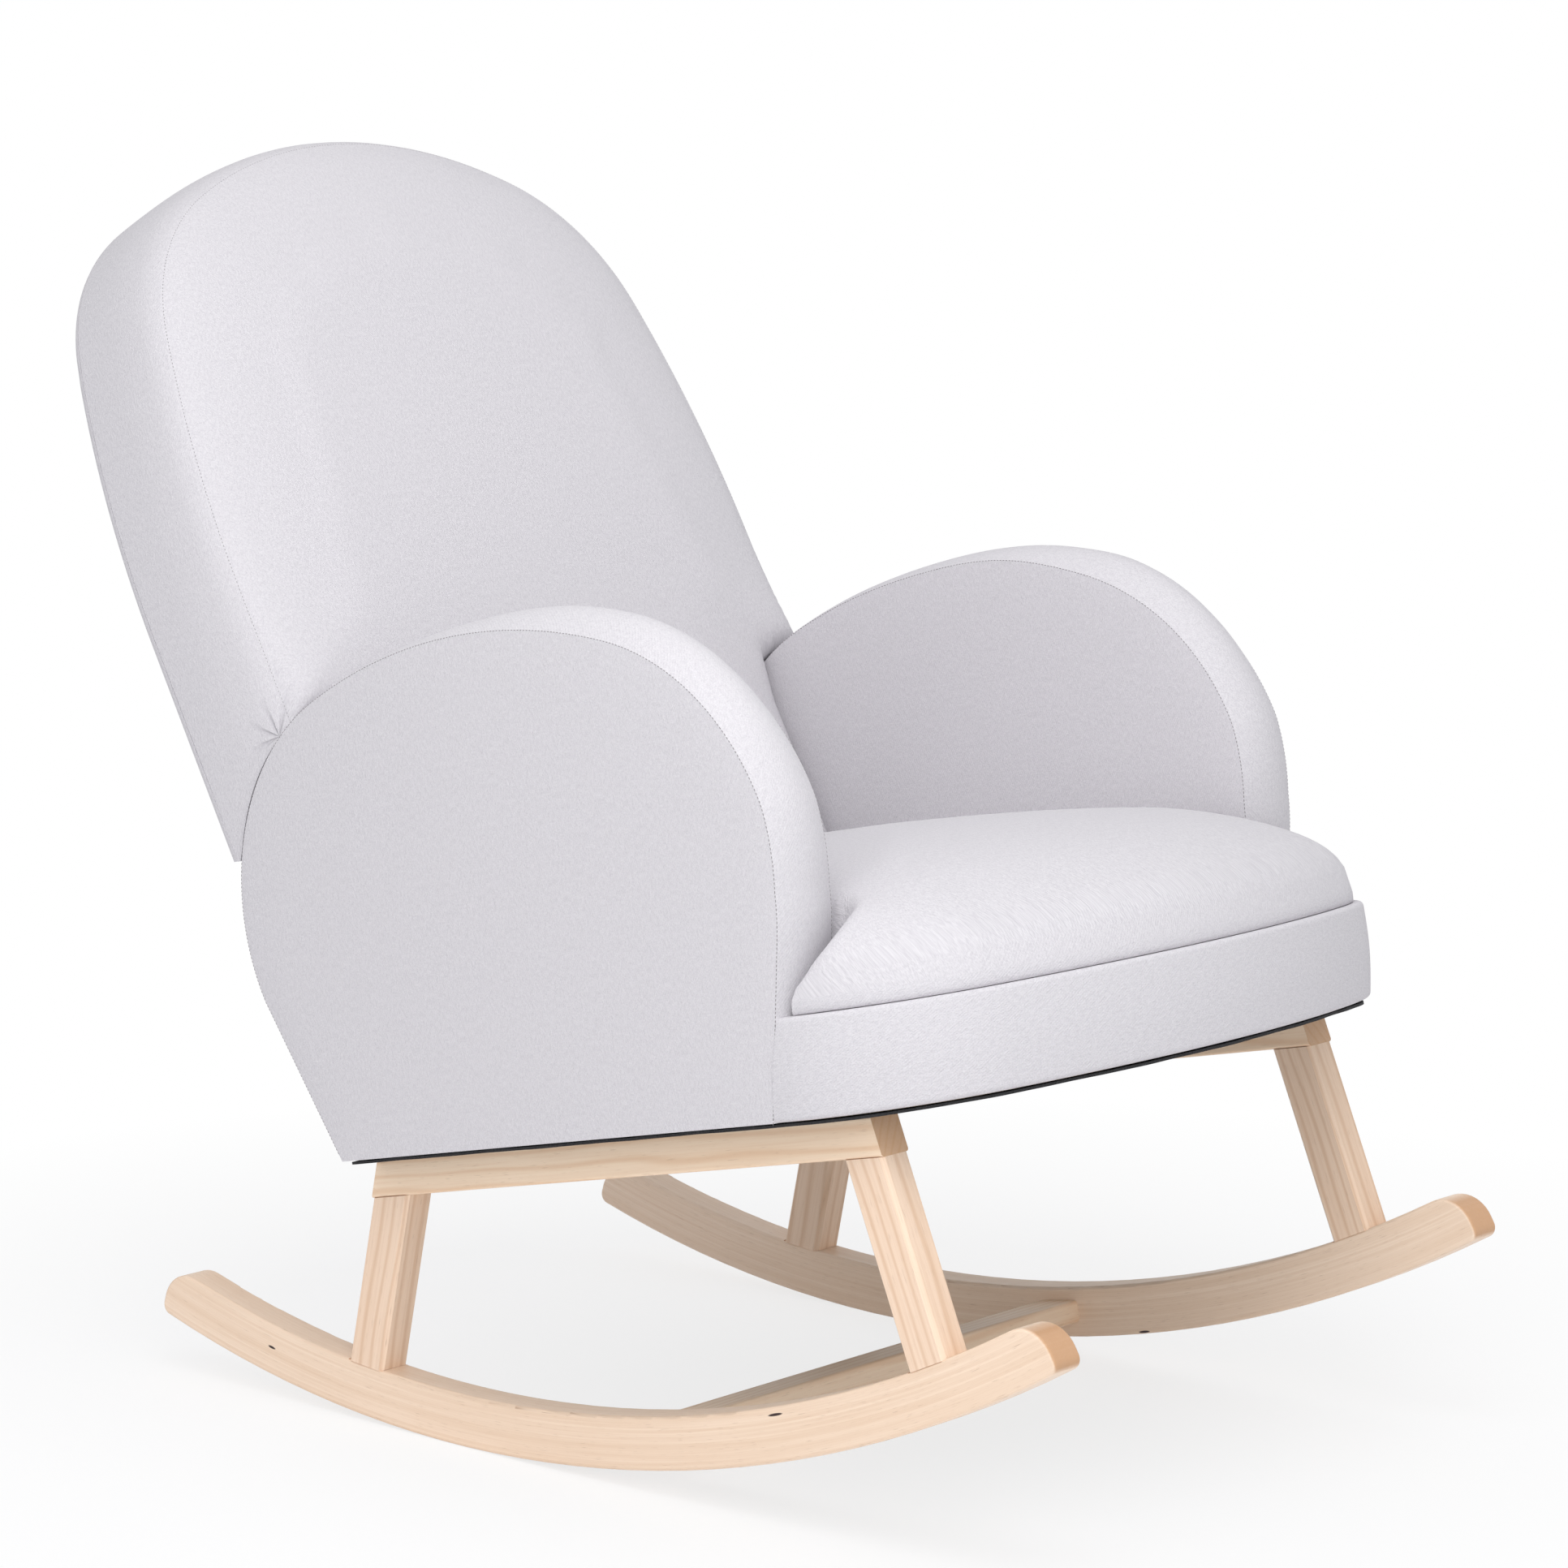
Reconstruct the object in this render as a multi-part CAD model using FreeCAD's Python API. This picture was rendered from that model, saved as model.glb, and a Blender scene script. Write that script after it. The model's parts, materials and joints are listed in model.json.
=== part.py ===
import FreeCAD, Part
import math
import os

V = FreeCAD.Vector
X_AXIS = V(1, 0, 0)
ORIGIN = V(0, 0, 0)

# The chair stands on the floor, faces -Y and has its mid-plane at X = 0. The seat is drawn level
# and is then leaned back by this angle, about the line where the rockers touch the floor.
REST_LEAN = 12.1

# Half-width of the seat over the arms, from which the widths of the base, arms and back follow.
SEAT_HALF = 298.0

# Rockers: bent laminated runners on one floor arc, angles measured from the touching line.
ROCKER_R = 1118.0
ROCKER_H = 40.0
ROCKER_BACK = 16.8
ROCKER_FRONT = -30.95
ROCKER_TOP_ROUND = 27.0
ROCKER_BOTTOM_ROUND = 8.0
BASE_INSET = 33.8
BASE_HALF = SEAT_HALF - BASE_INSET
BASE_W = 28.4
BASE_EASE = 2.4

# Legs: foot angle on the rocker, lean from the plumb line, depth front to back.
LEG_DEPTH = 36.0
LEG_CHAMFER = 3.0
REAR_FOOT = 5.0
REAR_LEAN = -12.1
FRONT_FOOT = -25.2
FRONT_LEAN = 22.75
FOOT_LAND = 0.5
LAND_PLAY = 0.4

# Side rails of the base, in the level frame.
RAIL_BOTTOM = 189.0
RAIL_H = 29.0
RAIL_TOP = RAIL_BOTTOM + RAIL_H

# Stretcher between the rockers, lying along the arc.
STRETCHER_AT = -9.5
STRETCHER_D = 37.0
STRETCHER_T = 18.0
STRETCHER_LIFT = 12.0
STRETCHER_ROUND = 3.0

# Dowels and their holes.
DOWEL_R = 4.0
DOWEL_L = 38.0
DOWEL_PLAY = 0.25
DOWEL_END_PLAY = 1.0
DOWEL_PITCH = 17.0
CROSS_DOWEL_L = 34.0
CROSS_DOWEL_IN_ROCKER = 16.0

# Seat box in the level frame: heights of its layers.
DUST_T = 3.0
DUST_TOP = RAIL_TOP + DUST_T
FRAME_H = 65.0
FRAME_TOP = DUST_TOP + FRAME_H
STRAP_T = 1.6
SIDE_TOP = FRAME_TOP + STRAP_T
DECK_BOTTOM = SIDE_TOP + STRAP_T
DECK_TOP = 297.0
COVER_LIFT = 1.0
COVER_BOTTOM = DUST_TOP + COVER_LIFT
SEWN_GAP = 0.5

# Bowed plan of the seat: front, and the arcs of its front and corners.
BOW_FRONT = -585.0
BOW_FRONT_R = 600.0
BOW_CORNER_R = 141.0
BORDER_LEAN = 5.3
BORDER_T = 12.0
BORDER_PUFF = 1.5
BORDER_TUCK = 3.0
FRONT_RAIL_T = 24.0
DUST_INSET = 8.0
SEAT_BACK_END = 30.0

# Plywood core of the arms, and the seat side rails beside it, over the base rails.
ARM_PLY_COVER = 14.0
ARM_PLY_T = 14.0
ARM_PLY_OUT = SEAT_HALF - ARM_PLY_COVER
ARM_PLY_IN = ARM_PLY_OUT - ARM_PLY_T
SEAT_RAIL_GAP = 1.0
SEAT_RAIL_T = 37.0
SEAT_RAIL_OUT = ARM_PLY_IN - SEAT_RAIL_GAP
SEAT_RAIL_IN = SEAT_RAIL_OUT - SEAT_RAIL_T
SEAT_RAIL_END = 22.0
REAR_RAIL_FRONT = -36.0
BLOCK_LEG = 46.0
BLOCK_TRIM = 5.0
FRONT_BLOCK_SETBACK = 31.0
FRONT_BLOCK_L = 148.0
FRONT_BLOCK_W = 120.0

# Arms: front foot, leaning front edge, then arcs (radius, turn) over the top and down the rear.
ARM_OUT = SEAT_HALF
ARM_W = 57.0
ARM_IN = ARM_OUT - ARM_W
ARM_FOOT = -411.0
ARM_FRONT_LEAN = 13.7
ARM_FRONT_RUN = 128.6
ARM_ARCS = ((188.0, 86.0), (467.0, 38.0), (171.0, 88.6))
ARM_CROWN = 13.0
ARM_PLY_INSET = 24.0
ARM_PLY_BAR = 52.0
ARM_PLY_PLAY = 0.4
ARM_CUT_LIFT = 2.0
ARM_CUT_TOP = DECK_BOTTOM + ARM_CUT_LIFT

# Back: reclined plane of its front seam, arched outline in that plane.
BACK_S = 38.3
BACK_T = 600.0
BACK_RECLINE = 17.1
BACK_INSET = 15.0
BACK_HALF = SEAT_HALF - BACK_INSET
BACK_TOP = 430.0
BACK_ARCH_H = 370.0
BACK_SPRING = BACK_TOP - BACK_ARCH_H
BACK_SIDE_R = 950.0
BACK_SIDE_TURN = 13.0
BACK_TOP_R = 380.0
BACK_LOW = -400.0
BACK_DEPTH = 100.0
BACK_BAND_CROWN = 7.0
BACK_FACE_CROWN = 22.0
BACK_REAR_CROWN = 11.0
# Rings of the crowned faces: inset from the outline, share of the crown.
BACK_FACE_RINGS = ((0.0, 0.0), (34.0, 0.72), (96.0, 1.0))
BACK_ROLL_RINGS = ((0.0, 0.0), (-6.0, 0.4), (0.0, 0.8))
BACK_REAR_RINGS = ((0.0, 0.8), (30.0, 0.95), (60.0, 1.0))
BACK_FRAME_FRONT = 69.0
BACK_FRAME_T = 22.0
BACK_BOARD_T = BACK_DEPTH - BACK_FRAME_FRONT - BACK_FRAME_T
BACK_FRAME_INSET = 24.0
BACK_FRAME_BAR = 52.0
BACK_POST_INSET = 13.0
BACK_POST_HALF = ARM_IN - BACK_POST_INSET
BACK_STEP_HIGH = -40.0
BACK_STEP_LOW = -75.0
BACK_NECK_GAP = 0.6
BACK_NECK_HALF = ARM_IN - BACK_NECK_GAP
BACK_ARM_GAP = 1.0
BACK_PAD_BOTTOM = DECK_TOP + BACK_ARM_GAP
BACK_FOOT = 224.0
BACK_SILL = 66.0
BACK_SHOULDER = 455.0

# Straps under the seat and behind the back pad.
STRAP_W = 50.0
SEAT_STRAP_X = (-150.0, -50.0, 50.0, 150.0)
SEAT_STRAP_S = (-440.0, -330.0, -220.0, -110.0)
BACK_STRAP_X = (-100.0, 0.0, 100.0)
BACK_STRAP_V = (-230.0, -130.0, -10.0, 95.0, 200.0)
STRAP_LAP = 20.0

# Bolts, sleeves and washers.
BOLT_R = 4.0
BOLT_PLAY = 0.5
BOLT_HEAD_R = 6.5
BOLT_HEAD_H = 7.0
HEAD_PLAY = 0.8
HEAD_SINK = 1.0
TIP_SHORT = 1.5
SLEEVE_R = 6.5
SLEEVE_L = 28.0
SLEEVE_SINK = 2.0
BASE_BOLT_S = (-395.0, -165.0, -12.0)
BASE_BOLT_L = 62.0
ARM_BOLT_S = (-360.0, -235.0, -110.0)
ARM_BOLT_T = 253.0
BACK_BOLT_X = (-170.0, -60.0, 60.0, 170.0)
BACK_BOLT_T = 253.0
BACK_BOLT_L = 46.0
WASHER_R = 9.0
WASHER_T = 1.6

# Seat cushion: loose, T-shaped, one crown over its body and the ears in front of the arms.
CUSHION_BOTTOM = DECK_TOP + SEWN_GAP
CUSHION_RIM = 4.5
CUSHION_SIDE_GAP = 4.5
CUSHION_HALF = ARM_IN - CUSHION_SIDE_GAP
CUSHION_BACK = -82.0
CUSHION_CORNER = 26.0
CUSHION_EAR_GAP = 1.5
# Where the arms press its sides: height up to which they are upright, and the rounding above.
CUSHION_SIDE_H = 48.0
CUSHION_ROUND = 26.0

# Crown of the cushion: height above its base, then insets of its bowed edge and of its back.
CUSHION_CROWN = (
    (0.0, 3.5, 0.0),
    (20.0, 3.0, -4.0),
    (46.0, 17.0, -11.0),
    (64.0, 49.0, -14.0),
    (78.0, 92.0, -10.0),
    (88.5, 139.0, 4.0),
    (96.5, 188.0, 36.0),
)

# How far a cutting tool runs past the face that it opens, and how close counts as touching.
OVERRUN = 4.0
NEAR = 1e-3


def sin_of(deg):
    return math.sin(math.radians(deg))


def cos_of(deg):
    return math.cos(math.radians(deg))


def tan_of(deg):
    return math.tan(math.radians(deg))


def stand(shape):
    """Lean a piece drawn level into the resting attitude."""
    leaned = shape.copy()
    leaned.rotate(ORIGIN, X_AXIS, -REST_LEAN)
    return leaned


def recline(shape):
    """Carry a piece drawn in the plane of the back into the level frame."""
    leaned = shape.copy()
    leaned.rotate(ORIGIN, X_AXIS, -BACK_RECLINE)
    leaned.translate(V(0, BACK_S, BACK_T))
    return leaned


def mirrored(shape):
    return shape.mirror(ORIGIN, X_AXIS)


def box(x0, x1, y0, y1, z0, z1):
    return Part.makeBox(x1 - x0, y1 - y0, z1 - z0, V(x0, y0, z0))


def line(a, b):
    return Part.makeLine(a, b)


def prism(points, x0, x1):
    """Polygon of (Y, Z) corners drawn out along X."""
    corners = [V(x0, y, z) for y, z in points]
    corners.append(corners[0])
    face = Part.Face(Part.makePolygon(corners))
    return face.extrude(V(x1 - x0, 0, 0))


def rod(start, direction, radius, length):
    return Part.makeCylinder(radius, length, start, direction)


def fused(shapes):
    whole = shapes[0]
    if len(shapes) > 1:
        whole = whole.multiFuse(shapes[1:])
    return whole.removeSplitter()


def cut_all(shape, tools):
    return shape.cut(Part.Compound(tools))


def edges_along(shape, direction):
    chosen = []
    for edge in shape.Edges:
        if isinstance(edge.Curve, Part.Line):
            run = edge.Vertexes[-1].Point - edge.Vertexes[0].Point
            if run.normalize().cross(direction).Length < NEAR:
                chosen.append(edge)
    return chosen


def side_face_edges(shape):
    """Edges round the two flat faces that look along X."""
    chosen = []
    for face in shape.Faces:
        if isinstance(face.Surface, Part.Plane) and abs(face.normalAt(0, 0).x) > 1 - NEAR:
            chosen.extend(face.Edges)
    return chosen


def polar(radius, deg):
    """Point at a radius and angle of the rocker's arc, in the plane X = 0."""
    return V(0, radius * sin_of(deg), ROCKER_R - radius * cos_of(deg))


def outward(deg):
    return V(0, sin_of(deg), -cos_of(deg))


def along(deg):
    return V(0, cos_of(deg), sin_of(deg))


LEVEL_UP = V(0, sin_of(REST_LEAN), cos_of(REST_LEAN))


class Leg:
    """Axis, foot and top of one inclined leg in the standing frame."""

    def __init__(self, foot_deg, lean):
        self.deg = foot_deg
        self.up = V(0, sin_of(lean), cos_of(lean))
        self.across = V(0, cos_of(lean), -sin_of(lean))
        self.foot = polar(ROCKER_R - ROCKER_H + FOOT_LAND, foot_deg)
        self.top = self.at_height(self.foot, RAIL_BOTTOM)

    def at_height(self, start, height):
        """Point where a line along the leg reaches a level height of the seat."""
        reach = (height - start.dot(LEVEL_UP)) / self.up.dot(LEVEL_UP)
        return start + self.up * reach

    def on_land(self, start):
        normal = outward(self.deg)
        reach = (self.foot - start).dot(normal) / self.up.dot(normal)
        return start + self.up * reach

    def face_line(self, side):
        """Foot point of the front (-1) or back (1) face of the leg."""
        return self.on_land(self.foot + self.across * (side * LEG_DEPTH / 2))

    def dowel_starts(self, joint):
        lift = DOWEL_PITCH / 2
        return [joint + self.across * (k * lift) - self.up * (DOWEL_L / 2) for k in (-1, 1)]


REAR_LEG = Leg(REAR_FOOT, REAR_LEAN)
FRONT_LEG = Leg(FRONT_FOOT, FRONT_LEAN)
BASE_MID = BASE_HALF - BASE_W / 2
BASE_IN = BASE_HALF - BASE_W


def leg_dowels_one_side(radius, extra):
    """Dowels of the four leg joints on the left side."""
    rods = []
    for leg in (REAR_LEG, FRONT_LEG):
        for joint in (leg.foot, leg.top):
            for start in leg.dowel_starts(joint):
                base = start - leg.up * extra + V(BASE_MID, 0, 0)
                rods.append(rod(base, leg.up, radius, DOWEL_L + 2 * extra))
    return rods


def stretcher_dowels_one_side(radius, extra):
    mid = polar(ROCKER_R - STRETCHER_LIFT - STRETCHER_T / 2, STRETCHER_AT)
    rods = []
    for k in (-1, 1):
        start = mid + along(STRETCHER_AT) * (k * DOWEL_PITCH / 2)
        start = start + V(BASE_IN + CROSS_DOWEL_IN_ROCKER - CROSS_DOWEL_L - extra, 0, 0)
        rods.append(rod(start, X_AXIS, radius, CROSS_DOWEL_L + 2 * extra))
    return rods


def base_holes():
    hole_r = DOWEL_R + DOWEL_PLAY
    return leg_dowels_one_side(hole_r, DOWEL_END_PLAY) + stretcher_dowels_one_side(hole_r, DOWEL_END_PLAY)


def edges_at_radius(shape, radius):
    """Edges across the rocker at a radius of its arc."""
    chosen = []
    for edge in edges_along(shape, X_AXIS):
        spot = edge.Vertexes[0].Point
        if abs(math.hypot(spot.y, ROCKER_R - spot.z) - radius) < NEAR:
            chosen.append(edge)
    return chosen


def rocker():
    """Bent runner with a rounded nose at each end and flat lands for the legs."""
    inner = ROCKER_R - ROCKER_H
    middle = (ROCKER_BACK + ROCKER_FRONT) / 2
    low = Part.Arc(polar(ROCKER_R, ROCKER_FRONT), polar(ROCKER_R, middle), polar(ROCKER_R, ROCKER_BACK))
    high = Part.Arc(polar(inner, ROCKER_BACK), polar(inner, middle), polar(inner, ROCKER_FRONT))
    ends = [line(polar(ROCKER_R, ROCKER_BACK), polar(inner, ROCKER_BACK)),
            line(polar(inner, ROCKER_FRONT), polar(ROCKER_R, ROCKER_FRONT))]
    wire = Part.Wire([low.toShape(), ends[0], high.toShape(), ends[1]])
    body = Part.Face(wire).extrude(V(BASE_W, 0, 0))
    body.translate(V(BASE_IN, 0, 0))
    body = body.makeFillet(ROCKER_TOP_ROUND, edges_at_radius(body, inner))
    body = body.makeFillet(ROCKER_BOTTOM_ROUND, edges_at_radius(body, ROCKER_R))
    body = body.makeFillet(BASE_EASE, side_face_edges(body))
    lands = []
    for leg in (REAR_LEG, FRONT_LEG):
        half = (leg.face_line(1) - leg.face_line(-1)).Length / 2 + LAND_PLAY
        block = box(BASE_IN - OVERRUN, BASE_HALF + OVERRUN, -half, half, 0, OVERRUN)
        block.rotate(ORIGIN, X_AXIS, leg.deg)
        block.translate((leg.face_line(1) + leg.face_line(-1)) * 0.5)
        lands.append(block)
    return cut_all(body, lands + base_holes())


def leg_piece(leg):
    """Inclined leg, foot cut to the rocker's land and head cut to the side rail."""
    low_back = leg.face_line(1)
    low_front = leg.face_line(-1)
    high_back = leg.at_height(low_back, RAIL_BOTTOM)
    high_front = leg.at_height(low_front, RAIL_BOTTOM)
    corners = [(p.y, p.z) for p in (low_back, high_back, high_front, low_front)]
    body = prism(corners, BASE_IN, BASE_HALF)
    body = body.makeChamfer(LEG_CHAMFER, edges_along(body, leg.up))
    return cut_all(body, base_holes())


def base_rail():
    """Side rail of the base, its ends carrying on the outer faces of the legs."""
    rear = REAR_LEG.face_line(1)
    front = FRONT_LEG.face_line(-1)
    corners = [REAR_LEG.at_height(rear, RAIL_BOTTOM), REAR_LEG.at_height(rear, RAIL_TOP),
               FRONT_LEG.at_height(front, RAIL_TOP), FRONT_LEG.at_height(front, RAIL_BOTTOM)]
    body = prism([(p.y, p.z) for p in corners], BASE_IN, BASE_HALF)
    seat_line = V(0, cos_of(REST_LEAN), -sin_of(REST_LEAN))
    body = body.makeFillet(BASE_EASE, edges_along(body, seat_line))
    bolts = base_bolts_one_side(BOLT_R + BOLT_PLAY, BOLT_HEAD_R + HEAD_PLAY, OVERRUN)
    return cut_all(body, base_holes() + [stand(b) for b in bolts])


def stretcher():
    half = BASE_IN
    low = ROCKER_R - STRETCHER_LIFT
    body = box(-half, half, -STRETCHER_D / 2, STRETCHER_D / 2, 0, STRETCHER_T)
    body = body.makeFillet(STRETCHER_ROUND, edges_along(body, X_AXIS))
    body.rotate(ORIGIN, X_AXIS, STRETCHER_AT)
    body.translate(polar(low, STRETCHER_AT))
    holes = stretcher_dowels_one_side(DOWEL_R + DOWEL_PLAY, DOWEL_END_PLAY)
    return cut_all(body, holes + [mirrored(h) for h in holes])


def base_bolts_one_side(shank_r, head_r, extra):
    """Bolts from below the base rail up into the seat side rail, level frame."""
    bolts = []
    for s in BASE_BOLT_S:
        seat = V(BASE_MID, s, RAIL_BOTTOM + BOLT_HEAD_H + HEAD_SINK)
        shank = rod(seat, V(0, 0, 1), shank_r, BASE_BOLT_L + extra)
        head_h = BOLT_HEAD_H + extra
        head = rod(seat - V(0, 0, head_h), V(0, 0, 1), head_r, head_h)
        bolts.append(shank.fuse(head).removeSplitter())
    return bolts


def base_sleeves_one_side(radius, extra):
    """Threaded sleeves let into the seat side rail for the base bolts, level frame."""
    low = DUST_TOP + SLEEVE_SINK - extra
    return [rod(V(BASE_MID, s, low), V(0, 0, 1), radius, SLEEVE_L + 2 * extra) for s in BASE_BOLT_S]


def arm_bolts_one_side(shank_r, extra):
    """Bolts from inside the seat box through the seat rail into the arm's ply, level frame."""
    bolts = []
    for s in ARM_BOLT_S:
        seat = V(SEAT_RAIL_IN - WASHER_T, s, ARM_BOLT_T)
        reach = ARM_PLY_OUT - SEAT_RAIL_IN + WASHER_T - TIP_SHORT + extra
        shank = rod(seat, X_AXIS, shank_r, reach)
        head = rod(seat - V(BOLT_HEAD_H, 0, 0), X_AXIS, BOLT_HEAD_R, BOLT_HEAD_H)
        bolts.append(shank.fuse(head).removeSplitter())
    return bolts


def arm_washers_one_side():
    rings = []
    for s in ARM_BOLT_S:
        start = V(SEAT_RAIL_IN - WASHER_T, s, ARM_BOLT_T)
        disc = rod(start, X_AXIS, WASHER_R, WASHER_T)
        rings.append(disc.cut(rod(start, X_AXIS, BOLT_R + BOLT_PLAY, WASHER_T)))
    return rings


def bow_start(half, front, front_r, corner_r):
    """Depth at which the side of a bowed plan turns into its corner arc."""
    return front + front_r - math.sqrt((front_r - corner_r) ** 2 - (half - corner_r) ** 2)


def bow_edges(half, front, front_r, corner_r, height):
    """Corner, front and corner arcs of a bowed plan, tangent to each other and to the sides."""
    start = bow_start(half, front, front_r, corner_r)
    centre_x = half - corner_r
    turn = math.atan2(centre_x, front + front_r - start)

    def front_at(angle):
        return V(front_r * math.sin(angle), front + front_r - front_r * math.cos(angle), height)

    def corner_at(angle):
        return V(centre_x + corner_r * math.sin(angle), start - corner_r * math.cos(angle), height)

    def across(spot):
        return V(-spot.x, spot.y, spot.z)

    side = corner_at(math.pi / 2)
    middle = corner_at((math.pi / 2 + turn) / 2)
    join = front_at(turn)
    return [Part.Arc(side, middle, join).toShape(),
            Part.Arc(join, front_at(0), across(join)).toShape(),
            Part.Arc(across(join), across(middle), across(side)).toShape()]


def bow_wire(inset, height, back, shift=0.0):
    """Closed plan of the seat, bowed in front and square behind."""
    half = SEAT_HALF - inset
    edges = bow_edges(half, BOW_FRONT + inset + shift, BOW_FRONT_R - inset, BOW_CORNER_R - inset, height)
    left = edges[0].Vertexes[0].Point
    right = V(-left.x, left.y, height)
    rear_left = V(half, back, height)
    rear_right = V(-half, back, height)
    rear = [line(right, rear_right), line(rear_right, rear_left)]
    return Part.Wire([line(rear_left, left)] + edges + rear)


def bow_slab(inset, low, high, back):
    return Part.Face(bow_wire(inset, low, back)).extrude(V(0, 0, high - low))


def arm_front(height):
    """Depth of the arm's leaning front edge at a height of the seat box."""
    return ARM_FOOT - (height - COVER_BOTTOM) * tan_of(ARM_FRONT_LEAN)


def behind_arm_front(gap):
    """Everything behind the leaning front edge of the arms, that edge carried on upward."""
    low = COVER_BOTTOM - RAIL_H
    high = COVER_BOTTOM + 2 * ARM_FRONT_RUN
    far = SEAT_HALF * 2
    corners = [(arm_front(low) - gap, low), (arm_front(high) - gap, high), (far, high), (far, low)]
    return prism(corners, -far, far)


def seat_front_border():
    """Padded band sewn round the bowed front, flush with the outer faces of the arms."""
    rise = DECK_TOP - COVER_BOTTOM
    puff = -BORDER_PUFF
    profile = ((0.0, BORDER_TUCK), (rise / 3, puff), (2 * rise / 3, puff), (rise, BORDER_TUCK))
    rings = []
    for lift, inset in profile:
        rings.append(bow_wire(inset, COVER_BOTTOM + lift, REAR_RAIL_FRONT, -lift * tan_of(BORDER_LEAN)))
    outer = Part.makeLoft(rings, True, False)
    hollow = bow_slab(BORDER_T, COVER_BOTTOM - OVERRUN, DECK_TOP + OVERRUN, 0.0)
    return outer.cut(hollow).cut(behind_arm_front(SEWN_GAP))


def seat_front_rail():
    """Laminated curved rail inside the border."""
    inset = BORDER_T + SEWN_GAP
    outer = bow_slab(inset, DUST_TOP, FRAME_TOP, REAR_RAIL_FRONT)
    inner = bow_slab(inset + FRONT_RAIL_T, DUST_TOP - OVERRUN, FRAME_TOP + OVERRUN, 0.0)
    return outer.cut(inner).cut(behind_arm_front(SEWN_GAP))


def inside_front_rail(gap):
    inset = BORDER_T + SEWN_GAP + FRONT_RAIL_T + gap
    return bow_slab(inset, DUST_TOP - OVERRUN, DECK_TOP + OVERRUN, 0.0)


def seat_side_rail():
    """Straight rail over the base rail, its nose scribed to the curved front rail."""
    step = ARM_FOOT + OVERRUN
    rear = box(SEAT_RAIL_IN, SEAT_RAIL_OUT, step, SEAT_RAIL_END, DUST_TOP, SIDE_TOP)
    nose = box(SEAT_RAIL_IN, SEAT_RAIL_OUT, BOW_FRONT, step, DUST_TOP, SIDE_TOP)
    nose = nose.common(inside_front_rail(SEWN_GAP))
    body = fused([rear, nose])
    holes = base_sleeves_one_side(SLEEVE_R + DOWEL_PLAY, SEWN_GAP)
    holes += base_bolts_one_side(BOLT_R + BOLT_PLAY, BOLT_HEAD_R, OVERRUN)
    holes += arm_bolts_one_side(BOLT_R + BOLT_PLAY, OVERRUN)
    return cut_all(body, holes)


def back_depth_at(q, height):
    """Level depth of a plane of the back, a distance behind its front seam, at a height."""
    return BACK_S + q / cos_of(BACK_RECLINE) + (height - BACK_T) * tan_of(BACK_RECLINE)


def seat_rear_rail():
    """Rear rail, its back face sloped to carry the frame of the back."""
    half = SEAT_RAIL_IN - SEWN_GAP
    corners = [(REAR_RAIL_FRONT, DUST_TOP), (back_depth_at(BACK_FRAME_FRONT, DUST_TOP), DUST_TOP),
               (back_depth_at(BACK_FRAME_FRONT, FRAME_TOP), FRAME_TOP), (REAR_RAIL_FRONT, FRAME_TOP)]
    body = prism(corners, -half, half)
    return cut_all(body, back_bolts(BOLT_R + BOLT_PLAY, BOLT_HEAD_R, OVERRUN))


def corner_block_plan(points, low, high):
    corners = [V(x, s, low) for x, s in points]
    corners.append(corners[0])
    return Part.Face(Part.makePolygon(corners)).extrude(V(0, 0, high - low))


def corner_blocks_one_side():
    """Glued triangular blocks in the two corners of the seat frame."""
    low = DUST_TOP + BLOCK_TRIM
    high = FRAME_TOP - BLOCK_TRIM
    edge = SEAT_RAIL_IN - SEWN_GAP
    back = REAR_RAIL_FRONT - SEWN_GAP
    rear = corner_block_plan([(edge, back), (edge, back - BLOCK_LEG), (edge - BLOCK_LEG, back)], low, high)
    tip = BOW_FRONT + FRONT_BLOCK_SETBACK
    block = [(edge, tip + FRONT_BLOCK_L), (edge, tip), (edge - FRONT_BLOCK_W, tip)]
    nose = corner_block_plan(block, low, high).common(inside_front_rail(SEWN_GAP))
    return [rear, nose]


def bow_depth_at(x, inset):
    """Front edge of the bowed plan at a distance from the mid-plane, on its front arc."""
    front_r = BOW_FRONT_R - inset
    return BOW_FRONT + inset + front_r - math.sqrt(front_r ** 2 - x ** 2)


def seat_webbing():
    """Elastic straps, front to back on the curved and rear rails, then across on the side rails."""
    straps = []
    half = STRAP_W / 2
    lap_inset = BORDER_T + SEWN_GAP + FRONT_RAIL_T - STRAP_LAP
    for x in SEAT_STRAP_X:
        front = bow_depth_at(abs(x) + half, lap_inset)
        straps.append(box(x - half, x + half, front, REAR_RAIL_FRONT + STRAP_LAP, FRAME_TOP, SIDE_TOP))
    reach = SEAT_RAIL_IN + STRAP_LAP
    for s in SEAT_STRAP_S:
        straps.append(box(-reach, reach, s - half, s + half, SIDE_TOP, DECK_BOTTOM))
    return straps


def deck_pad():
    """Felted deck over the straps, between the arms and out to the border."""
    slab = bow_slab(BORDER_T + SEWN_GAP, DECK_BOTTOM, DECK_TOP, 0.0)
    notch = box(ARM_IN - SEWN_GAP, SEAT_HALF, arm_front(DECK_TOP) - SEWN_GAP, OVERRUN,
                DECK_BOTTOM - OVERRUN, DECK_TOP + OVERRUN)
    return cut_all(slab, [notch, mirrored(notch)])


def dust_cover():
    """Black cloth stapled under the seat frame and clamped by the base rails."""
    sheet = bow_slab(DUST_INSET, RAIL_TOP, DUST_TOP, SEAT_BACK_END)
    holes = base_bolts_one_side(BOLT_R + BOLT_PLAY, BOLT_HEAD_R, OVERRUN)
    return cut_all(sheet, holes + [mirrored(h) for h in holes])


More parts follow.
